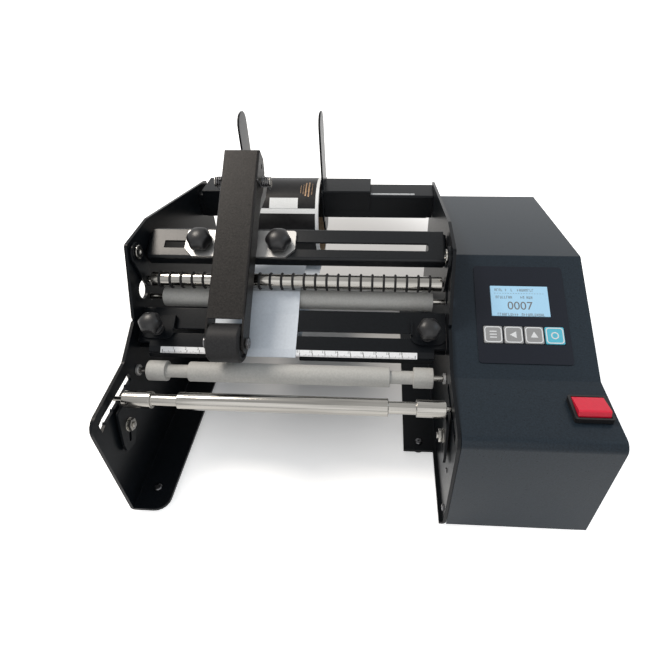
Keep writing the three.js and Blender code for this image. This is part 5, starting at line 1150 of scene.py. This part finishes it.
LONG_LEG, LONG_LEG_STEPS = 13.0, 8
SHORT_LEG, SHORT_LEG_STEPS = 5.85, 5
HINGE_SHAFT, HINGE_HEAD, HINGE_CAP, HINGE_ROUND = 3.0, 4.2, 1.0, 0.35
AXLE_RADIUS, AXLE_HEAD, AXLE_THREAD = 2.5, 4.6, 2.1
HEAD_REACH, THREAD_REACH, NUT_START, NUT_END = 2.4, 2.8, 0.2, 2.3
WHEEL_HALF, WHEEL_RADIUS, WHEEL_HUB, WHEEL_BORE = 12.7, 14.8, 5.3, 2.8
WHEEL_RIM, WHEEL_DISH, WHEEL_EDGE, WHEEL_SLANT = 11.0, 2.0, 1.6, 0.2
ARM_LINE = (Vector(ARM_FRONT) - Vector(ARM_REAR)).normalized()


def arm_point(along, depth):
    """Y and Z of a spot on the pressing arm: so far from its rear end and below its top face."""
    return (
        ARM_REAR[0] + along * ARM_LINE.x - depth * ARM_LINE.y,
        ARM_REAR[1] + along * ARM_LINE.y + depth * ARM_LINE.x,
    )


PIVOT = arm_point(22.1, 12.4)
AXLE = arm_point(math.dist(ARM_REAR, ARM_FRONT) + 16.1, 10.8)


def ears_inside_arm(point):
    """Moves the bracket's ears inwards, between the arm's walls, and keeps them clear of its top."""
    x, y, z = point
    side = x - ARM_X
    if EAR_INNER - GAP < abs(side) < EAR_OUTER + GAP:
        x -= math.copysign(EAR_INSET, side)
        y, z = y - PIVOT[0], z - PIVOT[1]
        slope = math.atan2(ARM_REAR[1] - ARM_FRONT[1], ARM_REAR[0] - ARM_FRONT[0]) + math.pi / 2
        turns = [slope - math.radians(lift) for lift in range(0, ARM_LIFT + 1, 5)]
        reach = max(y * math.cos(a) + z * math.sin(a) for a in turns)
        keep = min(1.0, EAR_REACH / reach) if reach > 0 else 1.0
        y, z = PIVOT[0] + y * keep, PIVOT[1] + z * keep
    return x, y, z


def on_outer_edge(point):
    """Tells the long outer edges of the arm's top and the rim of its nose."""
    y, z = point.y - ARM_REAR[0], point.z - ARM_REAR[1]
    depth = y * ARM_LINE.y - z * ARM_LINE.x
    along = y * ARM_LINE.x + z * ARM_LINE.y
    on_side = abs(abs(point.x - ARM_X) - ARM_HALF) < ARM_EDGE
    return on_side and abs(depth) < ARM_EDGE and along > -ARM_EDGE


class APPLICATOR_OT_arm_bracket(ApplicatorOperator, bpy.types.Operator):
    """Makes the zinc bracket, its hinge shaft, the two springs and the two lobed clamp knobs"""

    bl_idname = "applicator.arm_bracket"
    bl_label = "Arm bracket"

    def execute(self, context):
        sizes = context.scene.applicator_sizes
        wire = sizes.spring_wire / MM
        soften_nodes(("arm_bracket",), "arm_carriage", "zinc", sizes.edge_round, warp=ears_inside_arm)
        self.hinge(wire)
        for node, side in (("right_torsion_spring", 1), ("left_torsion_spring", -1)):
            self.spring(node, side, wire)
        for node, offset in (("left_rail_knob", -RAIL_KNOB_OFFSET), ("right_rail_knob", RAIL_KNOB_OFFSET)):
            self.knob(node, offset)
        return {"FINISHED"}

    def hinge(self, wire):
        half = ARM_HALF + GAP + SPRING_CURLS * SPRING_PITCH + wire + GAP
        end = half + HINGE_CAP
        profile = eased([
            (-end, 0), (-end, HINGE_HEAD), (-half, HINGE_HEAD), (-half, HINGE_SHAFT),
            (half, HINGE_SHAFT), (half, HINGE_HEAD), (end, HINGE_HEAD), (end, 0),
        ], HINGE_ROUND)
        mesh = turned(profile, axle_matrix(*PIVOT, ARM_X), 56)
        stand_in("hinge_shaft", mesh, "arm_carriage", "polished_steel")

    def spring(self, node, side, wire):
        """Close-wound round wire on the same line as the carried-over coils, in many more steps."""
        radius, first = HINGE_SHAFT + GAP + wire / 2, ARM_HALF + GAP + wire / 2

        def spot(k, leg=0.0):
            a = SPRING_START + math.tau * k / SPRING_STEPS
            return at(
                ARM_X + side * (first + SPRING_PITCH * k / SPRING_STEPS),
                PIVOT[0] + radius * math.cos(a) - leg * math.sin(a),
                PIVOT[1] + radius * math.sin(a) + leg * math.cos(a),
            )

        last = SPRING_STEPS * SPRING_CURLS
        line = [spot(0, LONG_LEG * (k / LONG_LEG_STEPS - 1)) for k in range(LONG_LEG_STEPS)]
        line += [spot(k) for k in range(last + 1)]
        line += [spot(last, SHORT_LEG * k / SHORT_LEG_STEPS) for k in range(1, SHORT_LEG_STEPS + 1)]
        mesh = tube(line, wire / 2 * MM, SPRING_SIDES)
        stand_in(node, mesh, "arm_carriage", "polished_steel", "dark_steel", SPRING_ANGLE)

    def knob(self, node, offset):
        """A domed grip with scalloped sides, a collar, a stem and its nut under the rail."""
        matrix = slope_matrix(*RAIL_PLACE, RAIL_SLOPE, ARM_X + offset)
        work = bmesh.new()
        scalloped_grip(work, matrix, RAIL_KNOB_RIM, RAIL_KNOB_TOP, RAIL_KNOB_GRIP)
        stand_in(node, finished(work), node, "black_plastic", smooth_angle=GRIP_ANGLE)
        seat, top = RAIL_KNOB_SEAT, RAIL_KNOB_RIM + RAIL_COLLAR_RISE
        ring = eased([
            (seat, RAIL_STEM), (seat, RAIL_COLLAR), (top, RAIL_COLLAR - RAIL_COLLAR_SLANT), (top, RAIL_STEM),
        ], BROAD_ROUND)
        new_piece(node + "_collar", turned(closed(ring), matrix, 72), node, "black_plastic")
        screw = [(RAIL_NUT_LOW, 0), (RAIL_NUT_LOW, RAIL_STEM), (seat, RAIL_STEM), (seat, 0)]
        new_piece(node + "_stem", turned(screw, matrix, 32), node, "black_plastic", "polished_steel")
        nut = turned(hexagon(RAIL_NUT_HIGH, RAIL_NUT_LOW, RAIL_STEM, RAIL_NUT), matrix, 6)
        new_piece(node + "_nut", nut, node, "black_plastic", "polished_steel")


class APPLICATOR_OT_pressing_arm(ApplicatorOperator, bpy.types.Operator):
    """Makes the pressing arm, its axle with a hexagon nut and the black wheel"""

    bl_idname = "applicator.pressing_arm"
    bl_label = "Pressing arm"

    def execute(self, context):
        sizes = context.scene.applicator_sizes
        soften_nodes(("pressing_arm",), "pressing_arm", "satin_black", sizes.edge_round,
                     wide=on_outer_edge, wide_width=sizes.arm_round / MM)
        place = axle_matrix(*AXLE, ARM_X)
        wall = ARM_HALF + GAP
        head_end, screw_end = wall + HEAD_REACH, wall + THREAD_REACH
        nut_start, nut_end = wall + NUT_START, wall + NUT_END
        shaft = eased([
            (-head_end, 0), (-head_end, AXLE_HEAD), (-wall, AXLE_HEAD), (-wall, AXLE_RADIUS),
            (wall, AXLE_RADIUS), (wall, AXLE_THREAD), (screw_end, AXLE_THREAD), (screw_end, 0),
        ], SOFT_ROUND)
        stand_in("wheel_axle", turned(shaft, place, 56), "pressing_arm", "polished_steel", "dark_steel")
        nut = eased([
            (nut_start, AXLE_THREAD), (nut_start, AXLE_HEAD), (nut_end, AXLE_HEAD), (nut_end, AXLE_THREAD),
        ], HAIR_ROUND, 1)
        mesh = turned(closed(nut), place, 6)
        new_piece("wheel_axle_nut", mesh, "pressing_arm", "polished_steel", "dark_steel")
        self.wheel(place)
        return {"FINISHED"}

    def wheel(self, place):
        """The wheel, dished on both faces between its hub and its rim."""
        floor = WHEEL_HALF - WHEEL_DISH
        side = [
            (WHEEL_HALF, WHEEL_BORE), (WHEEL_HALF, WHEEL_HUB), (floor, WHEEL_HUB + WHEEL_SLANT),
            (floor, WHEEL_RIM - WHEEL_SLANT), (WHEEL_HALF, WHEEL_RIM),
            (WHEEL_HALF, WHEEL_RADIUS - WHEEL_EDGE), (WHEEL_HALF - WHEEL_EDGE, WHEEL_RADIUS),
        ]
        profile = [(-x, r) for x, r in side] + list(reversed(side))
        mesh = turned(closed(eased(profile, BROAD_ROUND)), place, 112)
        stand_in("press_wheel", mesh, "press_wheel", "black_rubber")


# Label roll, its bar and its guides: the core hangs on both top edges of the bar
ROLL_LEFT, ROLL_RIGHT = -64.5, 5.5
ROLL_RADIUS, CORE_INNER, CORE_OUTER = 43.5, 38.0, 39.4
PAPER_INNER, PAPER_OUTER = 39.7, 43.3
PAPER_ROUND = 0.15
ROLL_Y = BAR_FRONT + BAR_HALF
ROLL_Z = BAR_TOP - math.sqrt((CORE_INNER - GAP) ** 2 - BAR_HALF ** 2)
LABEL_COUNT, LABEL_GAP, PATCH_STEP = 3, (139.5, 146.3), 1.5
LABEL_LEFT_INSET, LABEL_RIGHT_INSET, LABEL_SHEET = 1.5, 3.2, 0.1
LABEL_LEFT, LABEL_RIGHT = ROLL_LEFT + LABEL_LEFT_INSET, ROLL_RIGHT - LABEL_RIGHT_INSET
PANEL_LEFT, PANEL_RIGHT, PANEL_DEGREES, PANEL_EDGE = -44.5, -15.5, 14.9, 0.02
STROKE_SPACE, STROKE_DEGREES = 0.55, (1.1, 2.0)
STROKE_LINES = (
    (-1.6, 20, 40, 0.5), (-4.4, 17, 43, 1.7), (-7.6, 19, 42, 1.5), (-10.6, 22, 38, 0.5),
    (-13.2, 24, 36, 0.45),
)


def wrapped(work, x0, x1, a0, a1, radius, thick):
    """A thin patch that lies on the roll between two angles, seen from the right."""
    steps = max(int(abs(a1 - a0) / PATCH_STEP), 1)
    rows = []
    for k in range(steps + 1):
        a = math.radians(a0 + (a1 - a0) * k / steps)
        y, z = math.cos(a), math.sin(a)
        rows.append([
            work.verts.new(at(x, ROLL_Y + y * r, ROLL_Z + z * r))
            for x, r in ((x0, radius), (x1, radius), (x1, radius + thick), (x0, radius + thick))
        ])
    for low, high in zip(rows, rows[1:]):
        for k in range(4):
            n = (k + 1) % 4
            work.faces.new((low[k], low[n], high[n], high[k]))
    work.faces.new(rows[0])
    work.faces.new(list(reversed(rows[-1])))


def dress(node, slot):
    """Gives a carried-over solid its finish."""
    data = NODES[node].data
    data.materials.clear()
    data.materials.append(FINISHES[slot])


class APPLICATOR_OT_roll_bar(ApplicatorOperator, bpy.types.Operator):
    """Makes the roll bar and the two roll guides that slide on it"""

    bl_idname = "applicator.roll_bar"
    bl_label = "Roll bar and guides"

    def execute(self, context):
        width = context.scene.applicator_sizes.edge_round
        for node, body in (("roll_bar", "frame"), ("left_roll_guide",) * 2, ("right_roll_guide",) * 2):
            soften_nodes((node,), body, "black_paint", width)
        return {"FINISHED"}


class APPLICATOR_OT_label_roll(ApplicatorOperator, bpy.types.Operator):
    """Makes the wound label roll with plain printed labels, its card core and the web"""

    bl_idname = "applicator.label_roll"
    bl_label = "Label roll and web"

    def execute(self, context):
        for node, inner, outer, ease, steps, slot, finish in (
            ("label_roll", PAPER_INNER, PAPER_OUTER, PAPER_ROUND, 2, "label_stock", "roll_paper"),
            ("roll_core", CORE_INNER, CORE_OUTER, FINE_ROUND, 3, "card_core", "card_core"),
        ):
            sleeve = [(ROLL_LEFT, inner), (ROLL_LEFT, outer), (ROLL_RIGHT, outer), (ROLL_RIGHT, inner)]
            mesh = turned(closed(eased(sleeve, ease, steps)), axle_matrix(ROLL_Y, ROLL_Z), 160)
            stand_in(node, mesh, "label_roll", slot, finish)
        self.labels(context.scene.applicator_sizes.print_lift / MM)
        dress("liner_web", "liner_paper")
        return {"FINISHED"}

    def labels(self, lift):
        """Three plain black labels round the roll, with a pale panel and lines of gold strokes."""
        black, pale, gold = bmesh.new(), bmesh.new(), bmesh.new()
        strokes = random.Random(7)
        radius, turn = ROLL_RADIUS - lift, 360 / LABEL_COUNT
        for k in range(LABEL_COUNT):
            low, high = LABEL_GAP[1] + turn * k, LABEL_GAP[0] + turn * (k + 1)
            wrapped(black, LABEL_LEFT, LABEL_RIGHT, low, high, radius - LABEL_SHEET, LABEL_SHEET)
            wrapped(pale, PANEL_LEFT, PANEL_RIGHT, high - PANEL_DEGREES, high - PANEL_EDGE, radius, lift)
            for x, a0, a1, wide in STROKE_LINES:
                a = high - 1 - a1
                while a < high - a0:
                    reach = strokes.uniform(*STROKE_DEGREES)
                    wrapped(gold, x - wide * strokes.uniform(0.7, 1.0), x, a, a + reach, radius, lift)
                    a += reach + STROKE_SPACE
        for name, work, finish in (
            ("label_faces", black, "label_stock"),
            ("label_panels", pale, "roll_paper"),
            ("label_strokes", gold, "gold_print"),
        ):
            new_piece(name, finished(work), "label_roll", "label_stock", finish)


# Side housing
FEET = (
    ("left_front_foot", LEFT_FEET_X, FRONT_FEET_Y), ("left_rear_foot", LEFT_FEET_X, REAR_FEET_Y),
    ("middle_front_foot", *MIDDLE_FOOT),
    ("right_front_foot", RIGHT_FEET_X, FRONT_FEET_Y), ("right_rear_foot", RIGHT_FEET_X, REAR_FEET_Y),
)
FOOT_PROFILE = [(2.0, 0), (2.0, 3.0), (0, 3.0), (0, 6.0), (5.2, 7.0), (5.2, 0)]
FOOT_ROUND = 0.6
COVER_SIDE, COVER_SCREW_Z, COVER_SCREW = 231.0, 14.0, 3.0
INLET_FLANGE, INLET_Z, INLET_SCREW = 310.3, 42.0, 2.6


class APPLICATOR_OT_housing(ApplicatorOperator, bpy.types.Operator):
    """Makes the folded housing, its base plate and the rubber feet"""

    bl_idname = "applicator.housing"
    bl_label = "Housing and feet"

    def execute(self, context):
        width = context.scene.applicator_sizes.mould_round * 0.7
        soften_nodes(("housing_cover",), "frame", "black_paint", width, "housing_paint")
        dress("housing_base", "black_paint")
        for node, x, y in FEET:
            matrix = Matrix.Translation(at(x, y, 0)) @ Matrix.Scale(MM, 4)
            stand_in(node, turned(eased(FOOT_PROFILE, FOOT_ROUND), matrix, 56), "frame", "black_rubber")
        self.screws()
        return {"FINISHED"}

    def screws(self):
        """Two low screws on the housing's outer side and two on the inlet's flange."""
        for name, place, normal, radius, slot in (
            ("cover_screw_1", (COVER_SIDE, 40, COVER_SCREW_Z), (1, 0, 0), COVER_SCREW, "black_paint"),
            ("cover_screw_2", (COVER_SIDE, 270, COVER_SCREW_Z), (1, 0, 0), COVER_SCREW, "black_paint"),
            ("inlet_screw_1", (175, INLET_FLANGE, INLET_Z), (0, 1, 0), INLET_SCREW, "black_plastic"),
            ("inlet_screw_2", (215, INLET_FLANGE, INLET_Z), (0, 1, 0), INLET_SCREW, "black_plastic"),
        ):
            new_piece(name, screw_head(at(*place), Vector(normal), radius), "frame", slot, "polished_steel")


# Display and keys: places along the sloping face and up it from its lower fold
FACE_FOLD, FACE_SLOPE = (59.0, 106.0), 26.8
FACE_TOP, KEY_TOP = 0.8, 1.6
OVERLAY_ROUND, WINDOW_ROUND = 0.12 * MM, 0.15 * MM
COUNT_SIZE, COUNT_PLACE = 9.8, (178.6, 59.6)
MARK_ROWS = (
    (73.6, ((160, 166.5), (168.2, 169.4), (172.6, 174.2), (177.5, 190.5))),
    (67.2, ((160.5, 174), (179.6, 182.6), (184.2, 189.6))),
    (52.3, ((161, 176.4), (179.2, 196.6))),
)
MARK_HALF, MARK_STEM, MARK_WIDTH, MARK_PITCH = 1.15, 0.32, 1.1, 1.62
MARK_BARS, MARK_SECOND_STEM, MARK_SLACK = (-1.1, -0.15, 0.8), 0.8, 0.3
DASH_COUNT, DASH_START, DASH_PITCH, DASH_LENGTH, DASH_LOW, DASH_HIGH = 19, 159.5, 2.05, 1.1, 70.5, 70.75
KEY_X, KEY_PITCH, KEY_Y, KEY_COUNT = 156.2, 15.25, 35.0, 4
KEY_BORDER = (6.5, 2.6, 0.8)
BAR_SIGN, BAR_SIGN_PITCH, BAR_SIGN_HALF = 2.6, 2.4, 0.45
LEFT_SIGN = [(-2.9, 0), (2.0, -2.8), (2.0, 2.8)]
UP_SIGN = [(0, 2.9), (-2.8, -2.0), (2.8, -2.0)]
RING_SIGN = (2.9, 2.85, 0.9)


def face_matrix(x=0.0):
    """The sloping face's frame: X along it, Y up the slope from its lower fold, Z off it."""
    return slope_matrix(*FACE_FOLD, FACE_SLOPE, x)


class APPLICATOR_OT_display(ApplicatorOperator, bpy.types.Operator):
    """Makes the dark overlay and the lit display with its plain figures"""

    bl_idname = "applicator.display"
    bl_label = "Display"

    def execute(self, context):
        soften_nodes(("display_overlay",), "frame", "overlay_film", OVERLAY_ROUND)
        soften_nodes(("display_window",), "frame", "display_window", WINDOW_ROUND)
        lift = context.scene.applicator_sizes.print_lift / MM
        work = bmesh.new()
        face = face_matrix() @ Matrix.Translation((0, 0, FACE_TOP))
        numerals(work, "0007", COUNT_SIZE, face @ Matrix.Translation((*COUNT_PLACE, lift / 2)), lift)
        for y, spans in MARK_ROWS:
            for x0, x1 in spans:
                self.row_of_marks(work, x0, x1, y, face, lift)
        for k in range(DASH_COUNT):
            x = DASH_START + k * DASH_PITCH
            mark(work, x, x + DASH_LENGTH, DASH_LOW, DASH_HIGH, face, lift)
        new_piece("display_figures", finished(work), "frame", "display_window", "display_ink")
        return {"FINISHED"}

    def row_of_marks(self, work, x0, x1, y, face, lift):
        """Small upright strokes with random bars, which spell nothing."""
        strokes = random.Random(int(x0 * 10 + y))
        low, high = y - MARK_HALF, y + MARK_HALF
        x = x0
        while x + MARK_WIDTH < x1 + MARK_SLACK:
            mark(work, x, x + MARK_STEM, low, high, face, lift)
            bar = y + strokes.choice(MARK_BARS)
            mark(work, x + MARK_STEM, x + MARK_WIDTH, bar, bar + MARK_STEM, face, lift)
            if strokes.random() < 0.5:
                mark(work, x + MARK_SECOND_STEM, x + MARK_WIDTH, low, high, face, lift)
            x += MARK_PITCH


class APPLICATOR_OT_keys(ApplicatorOperator, bpy.types.Operator):
    """Makes the four keys with a pale border and a plain sign on each"""

    bl_idname = "applicator.keys"
    bl_label = "Keys"

    def execute(self, context):
        sizes = context.scene.applicator_sizes
        lift = sizes.print_lift / MM
        for k in range(KEY_COUNT):
            node = f"key_{k + 1}"
            slot = "blue_key" if k == KEY_COUNT - 1 else "gray_key"
            soften_nodes((node,), node, slot, sizes.edge_round)
            face = face_matrix(KEY_X + k * KEY_PITCH) @ Matrix.Translation((0, KEY_Y, KEY_TOP))
            work = bmesh.new()
            frame_outline(work, *KEY_BORDER, face, lift)
            self.sign(work, k, face, lift)
            new_piece(node + "_print", finished(work), node, slot, "key_print")
        return {"FINISHED"}

    def sign(self, work, k, face, lift):
        if k == 0:
            for y in (-BAR_SIGN_PITCH, 0.0, BAR_SIGN_PITCH):
                mark(work, -BAR_SIGN, BAR_SIGN, y - BAR_SIGN_HALF, y + BAR_SIGN_HALF, face, lift)
        elif k < KEY_COUNT - 1:
            slab(work, LEFT_SIGN if k == 1 else UP_SIGN, 0, lift, face)
        else:
            frame_outline(work, *RING_SIGN, face, lift)


# Switch and inlet
INLET_PLACE, PIN_LOW, PIN_HIGH, PIN_ROUND = (195.0, 294.3, INLET_Z), 0.05, 10.1, 0.5
PIN_HALF_WIDTH, PIN_HALF_HEIGHT = 1.1, 2.1
PINS = ((0, 2.5), (-7.0, -2.5), (7.0, -2.5))


class APPLICATOR_OT_switch(ApplicatorOperator, bpy.types.Operator):
    """Makes the red rocker switch in its bezel and the power inlet at the rear"""

    bl_idname = "applicator.switch"
    bl_label = "Switch and inlet"

    def execute(self, context):
        sizes = context.scene.applicator_sizes
        soften_nodes(("switch_bezel",), "frame", "black_plastic", sizes.edge_round)
        soften_nodes(("rocker_switch",), "rocker_switch", "red_plastic", sizes.mould_round * 0.6)
        soften_nodes(("power_inlet",), "frame", "black_plastic", sizes.edge_round)
        work = bmesh.new()
        turn = Matrix.Rotation(math.radians(-90), 4, "X")
        place = Matrix.Translation(at(*INLET_PLACE)) @ turn @ Matrix.Scale(MM, 4)
        for x, z in PINS:
            outline = rounded_rectangle(x - PIN_HALF_WIDTH, x + PIN_HALF_WIDTH, -z - PIN_HALF_HEIGHT,
                                        -z + PIN_HALF_HEIGHT, PIN_ROUND, 4)
            slab(work, outline, PIN_LOW, PIN_HIGH, place)
        new_piece("inlet_pins", finished(work), "frame", "black_plastic", "polished_steel")
        return {"FINISHED"}


class APPLICATOR_OT_inner_drive(ApplicatorOperator, bpy.types.Operator):
    """Gives the motor, belt, boards and supply inside the housing their finishes"""

    bl_idname = "applicator.inner_drive"
    bl_label = "Inner drive"

    def execute(self, context):
        for node, slot in (
            ("drive_motor", "polished_steel"), ("motor_pulley", "black_plastic"),
            ("drive_belt", "black_rubber"), ("controller_board", "circuit_board"), ("power_supply", "zinc"),
        ):
            dress(node, slot)
        return {"FINISHED"}


# Sidebar, registration and order of work
STEPS = (
    APPLICATOR_OT_side_plates,
    APPLICATOR_OT_rail,
    APPLICATOR_OT_peel_plate,
    APPLICATOR_OT_scales,
    APPLICATOR_OT_rollers,
    APPLICATOR_OT_pressure_unit,
    APPLICATOR_OT_web_guides,
    APPLICATOR_OT_arm_bracket,
    APPLICATOR_OT_pressing_arm,
    APPLICATOR_OT_roll_bar,
    APPLICATOR_OT_label_roll,
    APPLICATOR_OT_housing,
    APPLICATOR_OT_display,
    APPLICATOR_OT_keys,
    APPLICATOR_OT_switch,
    APPLICATOR_OT_inner_drive,
    APPLICATOR_OT_stage,
)


class APPLICATOR_PT_sidebar(bpy.types.Panel):
    """Lists the sizes, the colours and the making steps"""

    bl_idname = "APPLICATOR_PT_sidebar"
    bl_label = "Desk label applicator"
    bl_space_type = "VIEW_3D"
    bl_region_type = "UI"
    bl_category = "Applicator"

    def draw(self, context):
        layout = self.layout
        for group in settings(context):
            box = layout.box()
            for name in group.__annotations__:
                box.prop(group, name)
        column = layout.column(align=True)
        for step in STEPS:
            column.operator(step.bl_idname)


CLASSES = (ApplicatorColours, ApplicatorSizes, *STEPS, APPLICATOR_PT_sidebar)


def register():
    for cls in CLASSES:
        bpy.utils.register_class(cls)
    bpy.types.Scene.applicator_colours = bpy.props.PointerProperty(type=ApplicatorColours)
    bpy.types.Scene.applicator_sizes = bpy.props.PointerProperty(type=ApplicatorSizes)


def unregister():
    del bpy.types.Scene.applicator_sizes
    del bpy.types.Scene.applicator_colours
    for cls in reversed(CLASSES):
        bpy.utils.unregister_class(cls)


def main():
    register()
    make_finishes(bpy.context.scene.applicator_colours)
    for step in STEPS:
        group, name = step.bl_idname.split(".")
        result = getattr(getattr(bpy.ops, group), name)()
        if "FINISHED" not in result:
            raise RuntimeError(f"step {step.bl_idname} did not finish")


if __name__ == "__main__":
    main()
